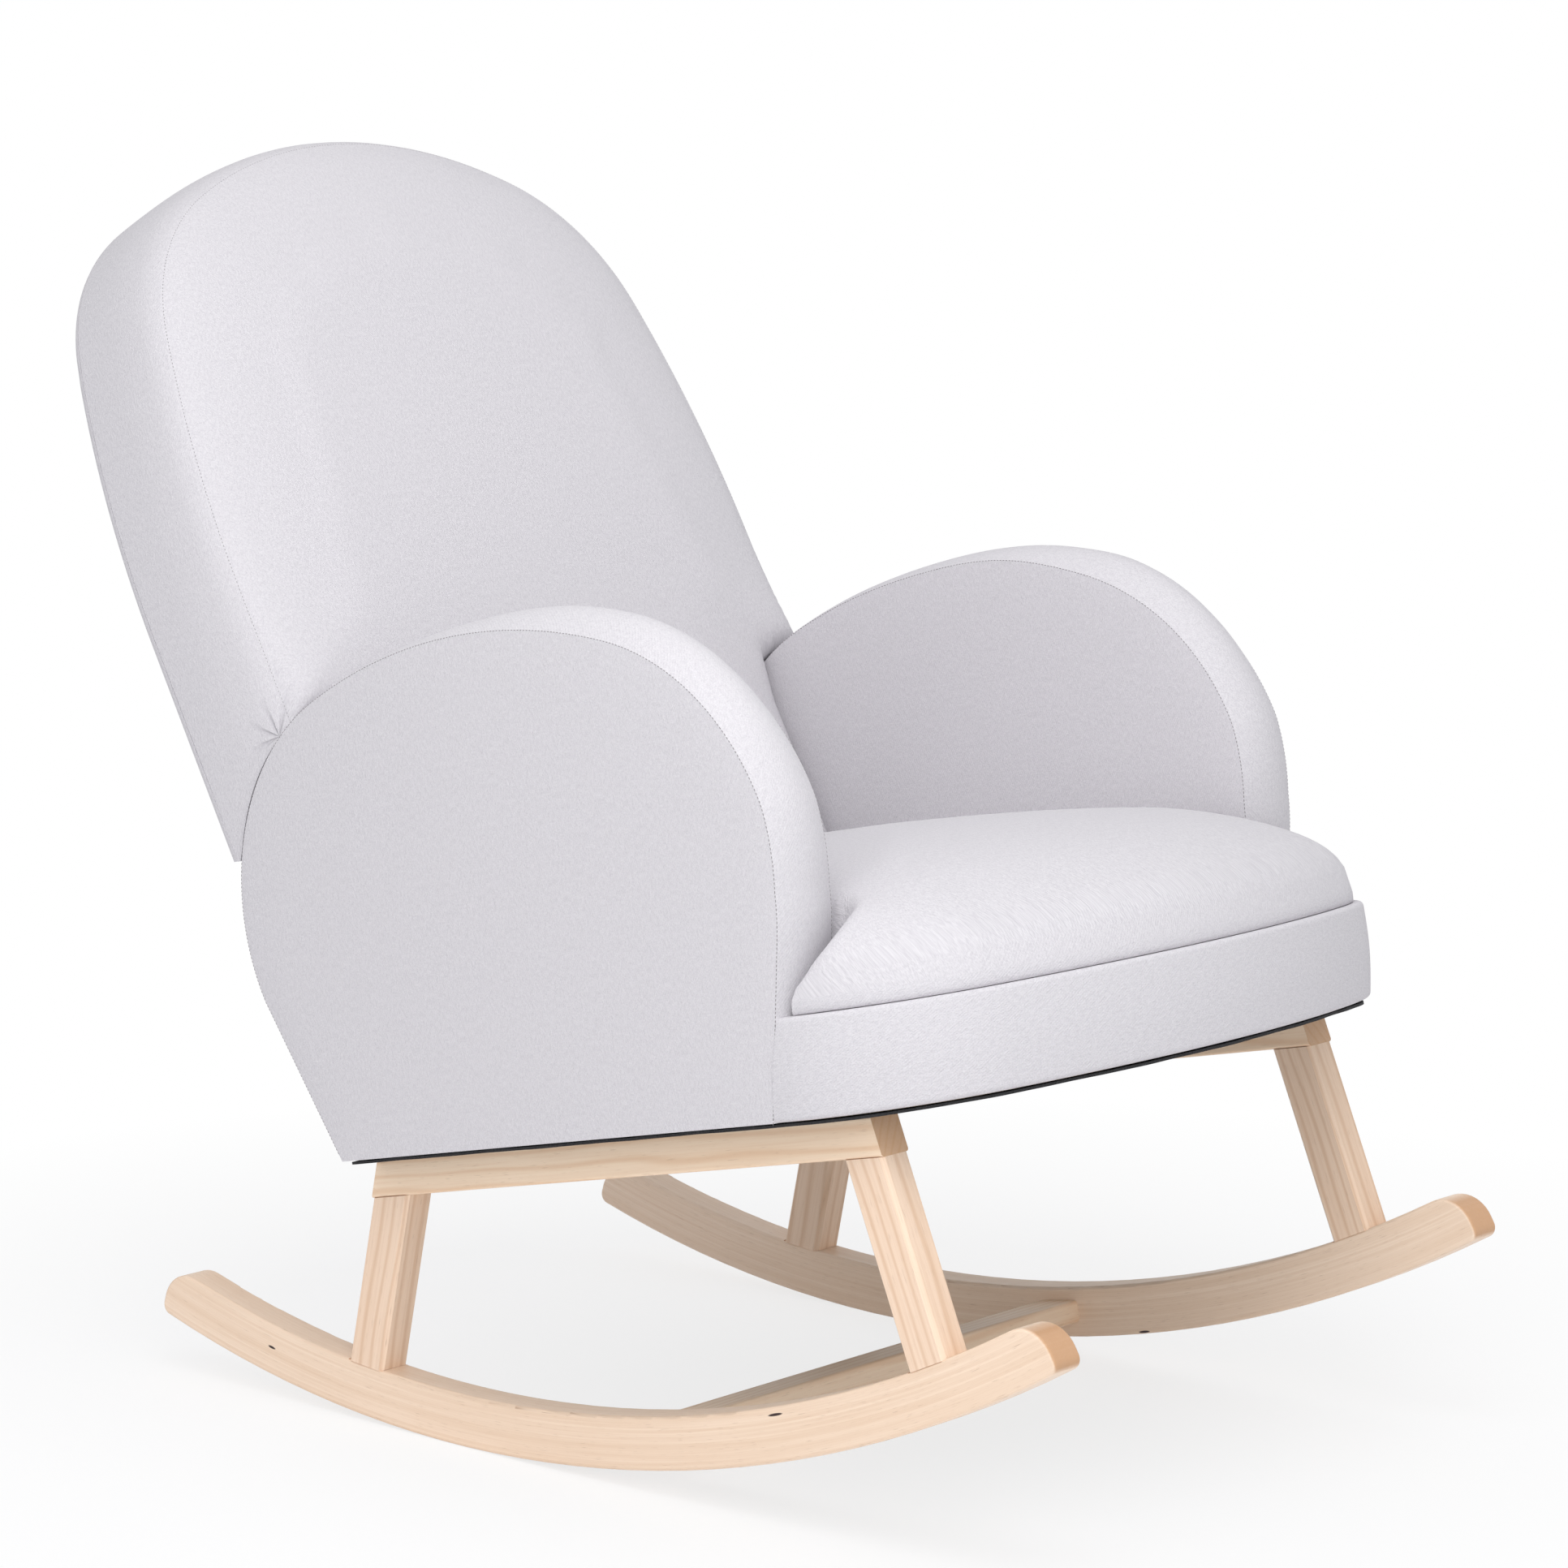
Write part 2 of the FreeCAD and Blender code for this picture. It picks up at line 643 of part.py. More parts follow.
def arm_wire(x, grow, bottom):
    """Outline of an arm at a distance outside its seam, closed by a level line at the bottom."""
    heading = math.radians(90 + ARM_FRONT_LEAN)

    def run(angle):
        return V(0, math.cos(angle), math.sin(angle))

    def out(angle):
        return V(0, -math.sin(angle), math.cos(angle))

    spot = V(x, ARM_FOOT, COVER_BOTTOM)
    edge = spot + out(heading) * grow
    first = edge + run(heading) * ((bottom - edge.z) / run(heading).z)
    spot = spot + run(heading) * ARM_FRONT_RUN
    path = [line(first, spot + out(heading) * grow)]
    for radius, turn in ARM_ARCS:
        centre = spot - out(heading) * radius
        after = heading - math.radians(turn)
        ring = [centre + out(a) * (radius + grow) for a in (heading, (heading + after) / 2, after)]
        path.append(Part.Arc(*ring).toShape())
        heading = after
        spot = centre + out(heading) * radius
    last = ring[2] + run(heading) * ((bottom - ring[2].z) / run(heading).z)
    return Part.Wire(path + [line(ring[2], last), line(last, first)])


def arm_slab(grow, x0, x1, bottom):
    return Part.Face(arm_wire(x0, grow, bottom)).extrude(V(x1 - x0, 0, 0))


def arm_frame():
    """Plywood core of an arm, standing on the dust cover beside the seat rail, with a window."""
    body = arm_slab(-ARM_PLY_INSET, ARM_PLY_IN, ARM_PLY_OUT, DUST_TOP)
    window = arm_slab(-ARM_PLY_INSET - ARM_PLY_BAR, ARM_PLY_IN - OVERRUN, ARM_PLY_OUT + OVERRUN,
                      SIDE_TOP + ARM_PLY_BAR)
    return cut_all(body, [window] + arm_bolts_one_side(BOLT_R + BOLT_PLAY, OVERRUN))


def arm_pad():
    """Upholstered half-round arm: crowned band, flat panels, slotted from below for the ply."""
    middle = (ARM_IN + ARM_OUT) / 2
    rings = [arm_wire(ARM_IN, 0.0, COVER_BOTTOM), arm_wire(middle, ARM_CROWN, COVER_BOTTOM),
             arm_wire(ARM_OUT, 0.0, COVER_BOTTOM)]
    body = Part.makeLoft(rings, True, False)
    slot = arm_slab(ARM_PLY_PLAY - ARM_PLY_INSET, ARM_PLY_IN - ARM_PLY_PLAY, ARM_PLY_OUT + ARM_PLY_PLAY,
                    COVER_BOTTOM - OVERRUN)
    hollow = box(ARM_IN - OVERRUN, ARM_PLY_IN, BOW_FRONT, SEAT_BACK_END,
                 COVER_BOTTOM - OVERRUN, ARM_CUT_TOP)
    low = COVER_BOTTOM - OVERRUN
    flat_front = [(arm_front(low), low), (arm_front(DECK_TOP), DECK_TOP), (BOW_FRONT, DECK_TOP),
                  (BOW_FRONT, low)]
    return cut_all(body, [slot, hollow, prism(flat_front, 0, 2 * ARM_OUT)])


def arch_wire(inset, depth, low, low_half=None):
    """Arched outline of the back in its own plane; an inset keeps the arcs' centres."""
    turn = math.radians(BACK_SIDE_TURN)
    lean = V(math.cos(turn), 0, math.sin(turn))
    side_c = V(BACK_HALF - BACK_SIDE_R, depth, BACK_SPRING)
    top_c = V(0, depth, BACK_TOP - BACK_TOP_R)
    end = side_c + lean * BACK_SIDE_R - top_c
    shoulder_r = (BACK_TOP_R ** 2 - end.dot(end)) / (2 * (BACK_TOP_R - end.dot(lean)))
    shoulder_c = top_c + end - lean * shoulder_r
    tilt = math.atan2(shoulder_c.z - top_c.z, shoulder_c.x)
    half = BACK_HALF - inset
    side = [(half, low), (half, BACK_SPRING)]
    if low_half is not None:
        side = [(low_half, low), (low_half, BACK_STEP_LOW), (half, BACK_STEP_HIGH), (half, BACK_SPRING)]

    def arc(centre, radius, first, last):
        angles = (first, (first + last) / 2, last)
        points = [centre + V(math.cos(a), 0, math.sin(a)) * (radius - inset) for a in angles]
        return Part.Arc(*points).toShape()

    rise = [line(V(a[0], depth, a[1]), V(b[0], depth, b[1])) for a, b in zip(side, side[1:])]
    rise.append(arc(side_c, BACK_SIDE_R, 0, turn))
    rise.append(arc(shoulder_c, shoulder_r, turn, tilt))
    top = arc(top_c, BACK_TOP_R, tilt, math.pi - tilt)
    fall = [mirrored(edge) for edge in reversed(rise)]
    foot = line(V(-side[0][0], depth, low), V(side[0][0], depth, low))
    return Part.Wire(rise + [top] + fall + [foot])


def arch_slab(inset, q0, q1, low, low_half=None):
    return Part.Face(arch_wire(inset, q0, low, low_half)).extrude(V(0, q1 - q0, 0))


def arm_notches(gap):
    """Room for both arms and for the air behind them, cut out of the back, level frame."""
    far = 2 * SEAT_HALF
    arm = arm_slab(ARM_CROWN + gap, BACK_NECK_HALF, far, COVER_BOTTOM - far)
    behind = box(BACK_NECK_HALF, far, 0, far, COVER_BOTTOM - far, BACK_SHOULDER)
    return [arm, behind, mirrored(arm), mirrored(behind)]


def below(height):
    far = 2 * SEAT_HALF
    return box(-far, far, -far, far, height - far, height)


def back_frame():
    """Arched frame with two posts and a deep sill bolted to the rear rail."""
    q0 = BACK_FRAME_FRONT
    q1 = q0 + BACK_FRAME_T
    inner = BACK_FRAME_INSET + BACK_FRAME_BAR
    body = arch_slab(BACK_FRAME_INSET, q0, q1, BACK_LOW, BACK_POST_HALF)
    sill_top = (BACK_FOOT + BACK_SILL - BACK_T) / cos_of(BACK_RECLINE) + q0 * tan_of(BACK_RECLINE)
    window = arch_slab(inner, q0 - OVERRUN, q1 + OVERRUN, sill_top, BACK_POST_HALF - BACK_FRAME_BAR)
    body = recline(body.cut(window)).cut(below(BACK_FOOT))
    return cut_all(body, back_bolts(BOLT_R + BOLT_PLAY, BOLT_HEAD_R + HEAD_PLAY, OVERRUN))


def back_board():
    """Plywood board glued behind the frame, from the arch to the foot."""
    q = BACK_FRAME_FRONT + BACK_FRAME_T
    body = arch_slab(BACK_FRAME_INSET, q, q + BACK_BOARD_T, BACK_LOW, BACK_POST_HALF)
    return recline(body).cut(below(BACK_FOOT))


def back_bolts(shank_r, head_r, extra):
    """Bolts through the sill of the back into the rear rail, level frame."""
    seat_q = BACK_FRAME_FRONT + BACK_FRAME_T - BOLT_HEAD_H - HEAD_SINK
    v = (BACK_BOLT_T - BACK_T) / cos_of(BACK_RECLINE) + BACK_FRAME_FRONT * tan_of(BACK_RECLINE)
    bolts = []
    for x in BACK_BOLT_X:
        seat = V(x, seat_q, v)
        head = rod(seat, V(0, 1, 0), head_r, BOLT_HEAD_H + extra)
        shank = rod(seat - V(0, BACK_BOLT_L + extra, 0), V(0, 1, 0), shank_r, BACK_BOLT_L + extra)
        bolts.append(recline(head.fuse(shank).removeSplitter()))
    return bolts


def back_webbing():
    """Straps across the frame of the back, then up and down in front of them."""
    q = BACK_FRAME_FRONT
    half = STRAP_W / 2
    straps = []
    for v in BACK_STRAP_V:
        reach = BACK_POST_HALF - BACK_FRAME_BAR + STRAP_LAP
        if v > BACK_STEP_HIGH:
            reach = BACK_HALF - BACK_FRAME_INSET - BACK_FRAME_BAR + STRAP_LAP
        straps.append(box(-reach, reach, q - STRAP_T, q, v - half, v + half))
    low = (BACK_FOOT + BACK_SILL - BACK_T) / cos_of(BACK_RECLINE) + q * tan_of(BACK_RECLINE)
    for x in BACK_STRAP_X:
        high = BACK_TOP - BACK_FRAME_INSET - BACK_FRAME_BAR
        straps.append(box(x - half, x + half, q - 2 * STRAP_T, q - STRAP_T, low + STRAP_LAP, high))
    return [recline(s) for s in straps]


def back_pad():
    """Deep padded back: crowned face, crowned band, notched round the arms, hollow for its frame."""
    face_rings = [arch_wire(inset, -share * BACK_FACE_CROWN, BACK_LOW) for inset, share in BACK_FACE_RINGS]
    band_rings = [arch_wire(0.0, 0.0, BACK_LOW), arch_wire(-BACK_BAND_CROWN, BACK_DEPTH / 2, BACK_LOW),
                  arch_wire(0.0, BACK_DEPTH, BACK_LOW)]
    body = Part.makeLoft(face_rings, True, False).fuse(Part.makeLoft(band_rings, True, False))
    front = BACK_FRAME_FRONT - 2 * STRAP_T - SEWN_GAP
    pocket = arch_slab(BACK_FRAME_INSET - SEWN_GAP, front, BACK_DEPTH + OVERRUN, BACK_LOW - OVERRUN,
                       BACK_POST_HALF + SEWN_GAP)
    body = recline(body.cut(pocket))
    return cut_all(body, arm_notches(BACK_ARM_GAP) + [below(BACK_PAD_BOTTOM)])


def back_panel():
    """Outside back: a lightly crowned panel with a rolled edge, from the arch to the foot."""
    lofts = []
    for rings in (BACK_ROLL_RINGS, BACK_REAR_RINGS):
        depths = [BACK_DEPTH + SEWN_GAP + share * BACK_REAR_CROWN for inset, share in rings]
        wires = [arch_wire(ring[0], depth, BACK_LOW) for ring, depth in zip(rings, depths)]
        lofts.append(Part.makeLoft(wires, True, False))
    body = recline(lofts[0].fuse(lofts[1]).removeSplitter())
    return cut_all(body, arm_notches(BACK_ARM_GAP) + [below(BACK_FOOT)])


CUSHION_NOSE = BOW_FRONT - (DECK_TOP - COVER_BOTTOM) * tan_of(BORDER_LEAN) + BORDER_TUCK + CUSHION_RIM


def cushion_ring(rise, inset, back):
    """One level ring of the crown: bowed front, straight sides, square back."""
    height = CUSHION_BOTTOM + rise
    rim = CUSHION_RIM + inset
    half = SEAT_HALF - rim
    corner = max(BOW_CORNER_R - rim, CUSHION_CORNER)
    edges = bow_edges(half, CUSHION_NOSE + inset, BOW_FRONT_R - rim, corner, height)
    left = edges[0].Vertexes[0].Point
    right = V(-left.x, left.y, height)
    rear_left = V(half, CUSHION_BACK - back, height)
    rear_right = V(-half, CUSHION_BACK - back, height)
    return Part.Wire([line(rear_left, left)] + edges + [line(right, rear_right), line(rear_right, rear_left)])


def between_arms():
    """Space that the arms leave the cushion, closing in where they round its sides."""
    low = CUSHION_BOTTOM - OVERRUN
    shoulder = CUSHION_BOTTOM + CUSHION_SIDE_H
    high = 2 * shoulder
    inner = CUSHION_HALF - CUSHION_ROUND
    turn = CUSHION_ROUND * math.sqrt(0.5)
    start = 2 * BOW_FRONT

    def at(x, t):
        return V(x, start, t)

    def rounded(side):
        return Part.Arc(at(side * CUSHION_HALF, shoulder), at(side * (inner + turn), shoulder + turn),
                        at(side * inner, shoulder + CUSHION_ROUND)).toShape()

    path = [line(at(CUSHION_HALF, low), at(CUSHION_HALF, shoulder)), rounded(1),
            line(at(inner, shoulder + CUSHION_ROUND), at(inner, high)),
            line(at(inner, high), at(-inner, high)),
            line(at(-inner, high), at(-inner, shoulder + CUSHION_ROUND)), rounded(-1),
            line(at(-CUSHION_HALF, shoulder), at(-CUSHION_HALF, low)),
            line(at(-CUSHION_HALF, low), at(CUSHION_HALF, low))]
    return Part.Face(Part.Wire(path)).extrude(V(0, -2 * start, 0))


def seat_cushion():
    """Loose cushion: one crown, taken away where the arms stand."""
    crown = Part.makeLoft([cushion_ring(*row) for row in CUSHION_CROWN], True, False)
    return crown.cut(behind_arm_front(ARM_CROWN + CUSHION_EAR_GAP).cut(between_arms()))


def both(shapes):
    return shapes + [mirrored(s) for s in shapes]


def group(shapes):
    return Part.Compound(shapes)


def base_pieces():
    """Pieces drawn in the standing frame."""
    left = {
        "rocker": rocker(),
        "front_leg": leg_piece(FRONT_LEG),
        "rear_leg": leg_piece(REAR_LEG),
        "side_rail": base_rail(),
    }
    pieces = {"stretcher": stretcher()}
    for name, shape in left.items():
        pieces[name + "_left"] = shape
        pieces[name + "_right"] = mirrored(shape)
    pieces["leg_dowels"] = group(both(leg_dowels_one_side(DOWEL_R, 0.0)))
    pieces["stretcher_dowels"] = group(both(stretcher_dowels_one_side(DOWEL_R, 0.0)))
    return pieces


def seat_pieces():
    """Pieces drawn level, before the chair is leaned back to its rest."""
    sleeves = base_sleeves_one_side(SLEEVE_R, 0.0)
    bores = base_bolts_one_side(BOLT_R + BOLT_PLAY, BOLT_HEAD_R, OVERRUN)
    sleeves = [s.cut(b) for s, b in zip(sleeves, bores)]
    left = {
        "seat_side_rail": seat_side_rail(),
        "arm_frame": arm_frame(),
        "arm_pad": arm_pad(),
    }
    pieces = {
        "base_bolts": group(both(base_bolts_one_side(BOLT_R, BOLT_HEAD_R, 0.0))),
        "base_sleeves": group(both(sleeves)),
        "arm_bolts": group(both(arm_bolts_one_side(BOLT_R, 0.0))),
        "arm_washers": group(both(arm_washers_one_side())),
        "back_bolts": group(back_bolts(BOLT_R, BOLT_HEAD_R, 0.0)),
        "seat_front_rail": seat_front_rail(),
        "seat_rear_rail": seat_rear_rail(),
        "seat_corner_blocks": group(both(corner_blocks_one_side())),
        "seat_webbing": group(seat_webbing()),
        "deck_pad": deck_pad(),
        "seat_front_border": seat_front_border(),
        "dust_cover": dust_cover(),
        "back_frame": back_frame(),
        "back_board": back_board(),
        "back_webbing": group(back_webbing()),
        "back_pad": back_pad(),
        "back_panel": back_panel(),
        "seat_cushion": seat_cushion(),
    }
    for name, shape in left.items():
        pieces[name + "_left"] = shape
        pieces[name + "_right"] = mirrored(shape)
    return {name: stand(shape) for name, shape in pieces.items()}


pieces = base_pieces()
pieces.update(seat_pieces())
span = Part.Compound(list(pieces.values())).optimalBoundingBox(False)
centre = V(0, -(span.YMin + span.YMax) / 2, 0)
os.makedirs("parts", exist_ok=True)
for name, shape in pieces.items():
    shape.translate(centre)
    shape.exportStep("parts/" + name + ".step")
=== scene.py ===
import json
import math

import bmesh
import bpy
import numpy as np
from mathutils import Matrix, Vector
from mathutils.geometry import delaunay_2d_cdt


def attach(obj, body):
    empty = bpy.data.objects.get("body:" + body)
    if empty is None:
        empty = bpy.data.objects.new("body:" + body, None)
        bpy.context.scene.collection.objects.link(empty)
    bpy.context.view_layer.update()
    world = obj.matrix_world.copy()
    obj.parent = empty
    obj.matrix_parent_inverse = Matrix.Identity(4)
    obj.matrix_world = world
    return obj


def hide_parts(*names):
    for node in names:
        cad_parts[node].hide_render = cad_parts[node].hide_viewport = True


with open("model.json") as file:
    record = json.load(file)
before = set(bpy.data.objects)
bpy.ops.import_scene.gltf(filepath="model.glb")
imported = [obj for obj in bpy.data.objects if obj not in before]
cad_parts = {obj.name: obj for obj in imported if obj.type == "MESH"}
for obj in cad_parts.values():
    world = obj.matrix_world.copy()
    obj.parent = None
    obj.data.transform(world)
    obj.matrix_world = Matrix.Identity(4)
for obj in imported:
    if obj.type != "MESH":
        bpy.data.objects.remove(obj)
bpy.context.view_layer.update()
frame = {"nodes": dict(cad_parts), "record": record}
nodes = frame["nodes"]
floor_line = frame["record"]["mounts"][0]["pos_m"]


# Rockers: runners of thin pale veneers, glued in a curved press, sawn and sanded, with a satin lacquer.
# The veneers follow the floor's arc, so the grain does too, and a few small voids show between them, drawn
# only as near-black colour: painted shade of their hollows.

ROCKER_RADIUS = 1.118
VENEER = 0.0017
PALE_WOOD = (0.94, 0.755, 0.60, 1.0)
TAN_WOOD = (0.72, 0.49, 0.32, 1.0)
PORE = (0.40, 0.235, 0.135, 1.0)
# Painted shade: the near-black inside the small voids between veneers.
HOLLOW_SHADE = (0.05, 0.03, 0.03, 1.0)
END_GRAIN = (0.56, 0.31, 0.16, 1.0)
# Voids in the veneers: side face (x), angle on the arc in degrees, radius, half-length.
VOIDS = ((-0.2642, 10.34, 1.0959, 0.0045), (-0.2642, -17.25, 1.0838, 0.008), (0.2358, -13.75, 1.1162, 0.006))


class Value:
    """One output of a finish; arithmetic on it adds Math nodes."""

    def __init__(self, finish, socket):
        self.finish = finish
        self.socket = socket

    def math(self, operation, *others):
        return self.finish.add("ShaderNodeMath", {"operation": operation}, dict(enumerate((self, *others))))

    def __add__(self, other):
        return self.math("ADD", other)

    def __sub__(self, other):
        return self.math("SUBTRACT", other)

    def __mul__(self, other):
        return self.math("MULTIPLY", other)

    def __truediv__(self, other):
        return self.math("DIVIDE", other)

    def __pow__(self, other):
        return self.math("POWER", other)

    def __rsub__(self, other):
        return self * -1.0 + other

    __radd__ = __add__
    __rmul__ = __mul__

    def between(self, low, high):
        """0 below low, 1 above high, straight between."""
        ends = {"Value": self, "From Min": low, "From Max": high}
        return self.finish.add("ShaderNodeMapRange", {"clamp": True}, ends)


class Finish:
    """A material in the making: add() places one node, set() feeds its shader."""

    def __init__(self, name):
        self.material = bpy.data.materials.new(name)
        self.material.use_nodes = True
        self.tree = self.material.node_tree
        self.shader = self.tree.nodes["Principled BSDF"]

    def add(self, kind, settings=None, inputs=None, output=0):
        node = self.tree.nodes.new(kind)
        for key, value in (settings or {}).items():
            setattr(node, key, value)
        for key, value in (inputs or {}).items():
            self.feed(node.inputs[key], value)
        return Value(self, node.outputs[output])

    def feed(self, socket, value):
        if isinstance(value, Value):
            self.tree.links.new(value.socket, socket)
        else:
            socket.default_value = value

    def set(self, **inputs):
        for key, value in inputs.items():
            self.feed(self.shader.inputs[key.replace("_", " ")], value)

    def position(self):
        return self.add("ShaderNodeTexCoord", output="Object")

    def split(self, vector):
        node = self.tree.nodes.new("ShaderNodeSeparateXYZ")
        self.feed(node.inputs[0], vector)
        return [Value(self, socket) for socket in node.outputs]

    def join(self, x, y, z):
        return self.add("ShaderNodeCombineXYZ", None, {0: x, 1: y, 2: z})

    def along(self, vector, axis):
        inputs = {0: vector, 1: axis}
        return self.add("ShaderNodeVectorMath", {"operation": "DOT_PRODUCT"}, inputs, "Value")

    def noise(self, vector, detail=2.0, roughness=0.5):
        inputs = {"Vector": vector, "Scale": 1.0, "Detail": detail, "Roughness": roughness}
        return self.add("ShaderNodeTexNoise", None, inputs)

    def blend(self, share, first, second):
        return self.add("ShaderNodeMix", {"data_type": "RGBA"}, {0: share, 6: first, 7: second}, 2)

    def bump(self, height, depth, strength=1.0):
        inputs = {"Height": height, "Distance": depth, "Strength": strength}
        self.set(Normal=self.add("ShaderNodeBump", None, inputs))


def wood_grain(finish, run, rings, end, pale, tan):
    """Colour and gloss of lacquered wood; run holds the distances along the grain and twice across it."""
    a, b, c = run
    broad = finish.noise(finish.join(a * 3.0, b * 26.0, c * 26.0), 2.0).between(0.35, 0.75)
    streak = finish.noise(finish.join(a * 9.0, b * 420.0, c * 420.0), 3.0, 0.6).between(0.42, 0.72)
    pores = finish.noise(finish.join(a * 70.0, b * 1900.0, c * 1900.0), 1.0).between(0.67, 0.77)
    colour = finish.blend(rings + broad * 0.15, pale, tan)
    colour = finish.blend(streak * 0.25, colour, tan)
    colour = finish.blend(pores * 0.45, colour, PORE)
    colour = finish.blend(end * 0.85, colour, END_GRAIN)
    finish.set(Roughness=streak * 0.12 + 0.42, Coat_Weight=0.06)
    finish.shader.inputs["Coat Roughness"].default_value = 0.3
    finish.shader.inputs["Specular IOR Level"].default_value = 0.2
    finish.bump(1.0 - pores * 0.8 - streak * 0.2, 0.00025, 0.5)
    return colour


def rocker_finish():
    finish = Finish("bent_veneer")
    x, y, z = finish.split(finish.position())
    back = y - floor_line[1]
    down = ROCKER_RADIUS - z
    radius = (back ** 2.0 + down ** 2.0).math("SQRT")
    angle = back.math("ARCTAN2", down)
    normal = finish.split(finish.add("ShaderNodeNewGeometry", output="Normal"))
    turned = normal[1] * angle.math("COSINE") + normal[2] * angle.math("SINE")
    end = turned.math("ABSOLUTE").between(0.35, 0.75)
    along = angle * ROCKER_RADIUS
    layer = (radius / VENEER).math("FLOOR")
    tone = finish.noise(finish.join(layer * 7.31, along * 1.4, x * 3.0), 1.0).between(0.35, 0.7)
    glue = (radius / VENEER).math("FRACT").between(0.16, 0.0)
    colour = wood_grain(finish, (along, radius, x), tone * 0.26 + glue * 0.16, end, PALE_WOOD, TAN_WOOD)
    for side, at, off, half in VOIDS:
        run = (angle - math.radians(at)) * (ROCKER_RADIUS / half)
        thin = (radius - off) / 0.0011
        near = (x - side).math("ABSOLUTE").between(0.0035, 0.0015)
        colour = finish.blend((run ** 2.0 + thin ** 2.0).between(1.0, 0.55) * near, colour, HOLLOW_SHADE)
    finish.set(Base_Color=colour)
    return finish.material


def dress(material, *names):
    """Give CAD nodes a finish in place of their plain one."""
    for name in names:
        nodes[name].data.materials.clear()
        nodes[name].data.materials.append(material)


dress(rocker_finish(), "rocker_left", "rocker_right")


# Legs, side rails and stretcher: straight pale hardwood, planed, with eased edges and the same lacquer.
# Each piece's grain runs along its length; sawn ends are darker. Dowels join them, unseen.

SEAT_LEAN = math.radians(12.1)
BOARD_PALE = (0.92, 0.71, 0.55, 1.0)
BOARD_TAN = (0.66, 0.41, 0.245, 1.0)
# Painted light: a lighter copy of the board colours for the pieces that sit in the seat's shade.
LIT_RAIL_PALE = (0.98, 0.78, 0.59, 1.0)
LIT_RAIL_TAN = (0.78, 0.49, 0.29, 1.0)
RING = 0.0075
FRONT_LEG_LEAN = math.radians(22.75)
REAR_LEG_LEAN = math.radians(-12.1)


def across_grain(finish, axis):
    """1 on faces cut across the grain, 0 on faces along it."""
    facing = finish.along(finish.add("ShaderNodeNewGeometry", output="Normal"), axis)
    return facing.math("ABSOLUTE").between(0.55, 0.9)


def board_finish(name, axis, across, pale=BOARD_PALE, tan=BOARD_TAN):
    """Solid wood with its grain along one axis; `across` is one of the axes square to it."""
    finish = Finish(name)
    place = finish.position()
    third = Vector(axis).cross(across)
    a = finish.along(place, axis)
    b = finish.along(place, across)
    c = finish.along(place, third)
    sway = finish.noise(finish.join(a * 3.2, b * 14.0, c * 14.0), 2.0) - 0.5
    pith = ((b + 0.03) ** 2.0 + (c + 0.045) ** 2.0).math("SQRT") + sway * 0.022
    rings = (pith * (2 * math.pi / RING)).math("SINE").between(-0.1, 1.0) ** 2.0 * 0.42
    end = across_grain(finish, axis) * 0.8
    finish.set(Base_Color=wood_grain(finish, (a, b, c), rings, end, pale, tan))
    return finish.material


def leaning(angle):
    return Vector((0, math.sin(angle), math.cos(angle)))


sideways = Vector((1, 0, 0))
level_back = Vector((0, math.cos(SEAT_LEAN), -math.sin(SEAT_LEAN)))
level_up = leaning(SEAT_LEAN)
dress(board_finish("front_leg_wood", leaning(FRONT_LEG_LEAN), sideways), "front_leg_left", "front_leg_right")
dress(board_finish("rear_leg_wood", leaning(REAR_LEG_LEAN), sideways), "rear_leg_left", "rear_leg_right")
# The rails, stretcher and rear rail take the lighter colours: painted light under the seat.
lit_rail_wood = board_finish("lit_rail_wood", level_back, sideways, LIT_RAIL_PALE, LIT_RAIL_TAN)
dress(lit_rail_wood, "side_rail_left", "side_rail_right")
lit_cross_wood = board_finish("lit_cross_wood", sideways, level_back, LIT_RAIL_PALE, LIT_RAIL_TAN)
dress(lit_cross_wood, "stretcher", "stretcher_dowels", "seat_rear_rail")
dress(board_finish("dowel_wood", leaning(FRONT_LEG_LEAN), sideways), "leg_dowels")


# Seat frame, arm cores and back frame: sawn plywood and softwood inside the covers, raw and unseen.
# They are bolted, glued and blocked together before the covers go on.

PLY_PALE = (0.66, 0.50, 0.33, 1.0)
PLY_DARK = (0.38, 0.25, 0.14, 1.0)


def plywood_finish():
    finish = Finish("raw_plywood")
    x, y, z = finish.split(finish.position())
    ply = (x * (2 * math.pi / 0.0028)).math("SINE").between(-0.3, 0.6)
    grain = finish.noise(finish.join(x * 300.0, y * 18.0, z * 300.0), 3.0).between(0.35, 0.7)
    finish.set(Base_Color=finish.blend(ply * 0.35 + grain * 0.4, PLY_PALE, PLY_DARK), Roughness=0.75)
    finish.bump(grain, 0.0003, 0.4)
    return finish.material


dress(plywood_finish(), "seat_front_rail", "seat_side_rail_left", "seat_side_rail_right",
      "seat_corner_blocks", "arm_frame_left", "arm_frame_right", "back_frame", "back_board")


# Bolts, threaded sleeves and washers: zinc-plated steel, brushed by the die, sunk in the wood.
# The bolts hold the base to the seat frame, the arm cores to its sides and the back to its rear rail.

ZINC = (0.62, 0.62, 0.60, 1.0)
ZINC_DULL = (0.42, 0.42, 0.40, 1.0)


def zinc_finish():
    finish = Finish("zinc_plate")
    x, y, z = finish.split(finish.position())
    brushed = finish.noise(finish.join(x * 900.0, y * 900.0, z * 120.0), 3.0).between(0.3, 0.7)
    finish.set(Base_Color=finish.blend(brushed, ZINC, ZINC_DULL), Metallic=1.0, Roughness=brushed * 0.2 + 0.3)
    finish.bump(brushed, 0.0001, 0.3)
    return finish.material


dress(zinc_finish(), "base_bolts", "base_sleeves", "arm_bolts", "arm_washers", "back_bolts")


# Webbing: elastic straps woven of brown rubber thread and cotton, stapled over the frames.
# They cross under the deck and behind the pad of the back, and carry the sitter.

STRAP_LIGHT = (0.45, 0.35, 0.23, 1.0)
STRAP_DARK = (0.20, 0.13, 0.08, 1.0)


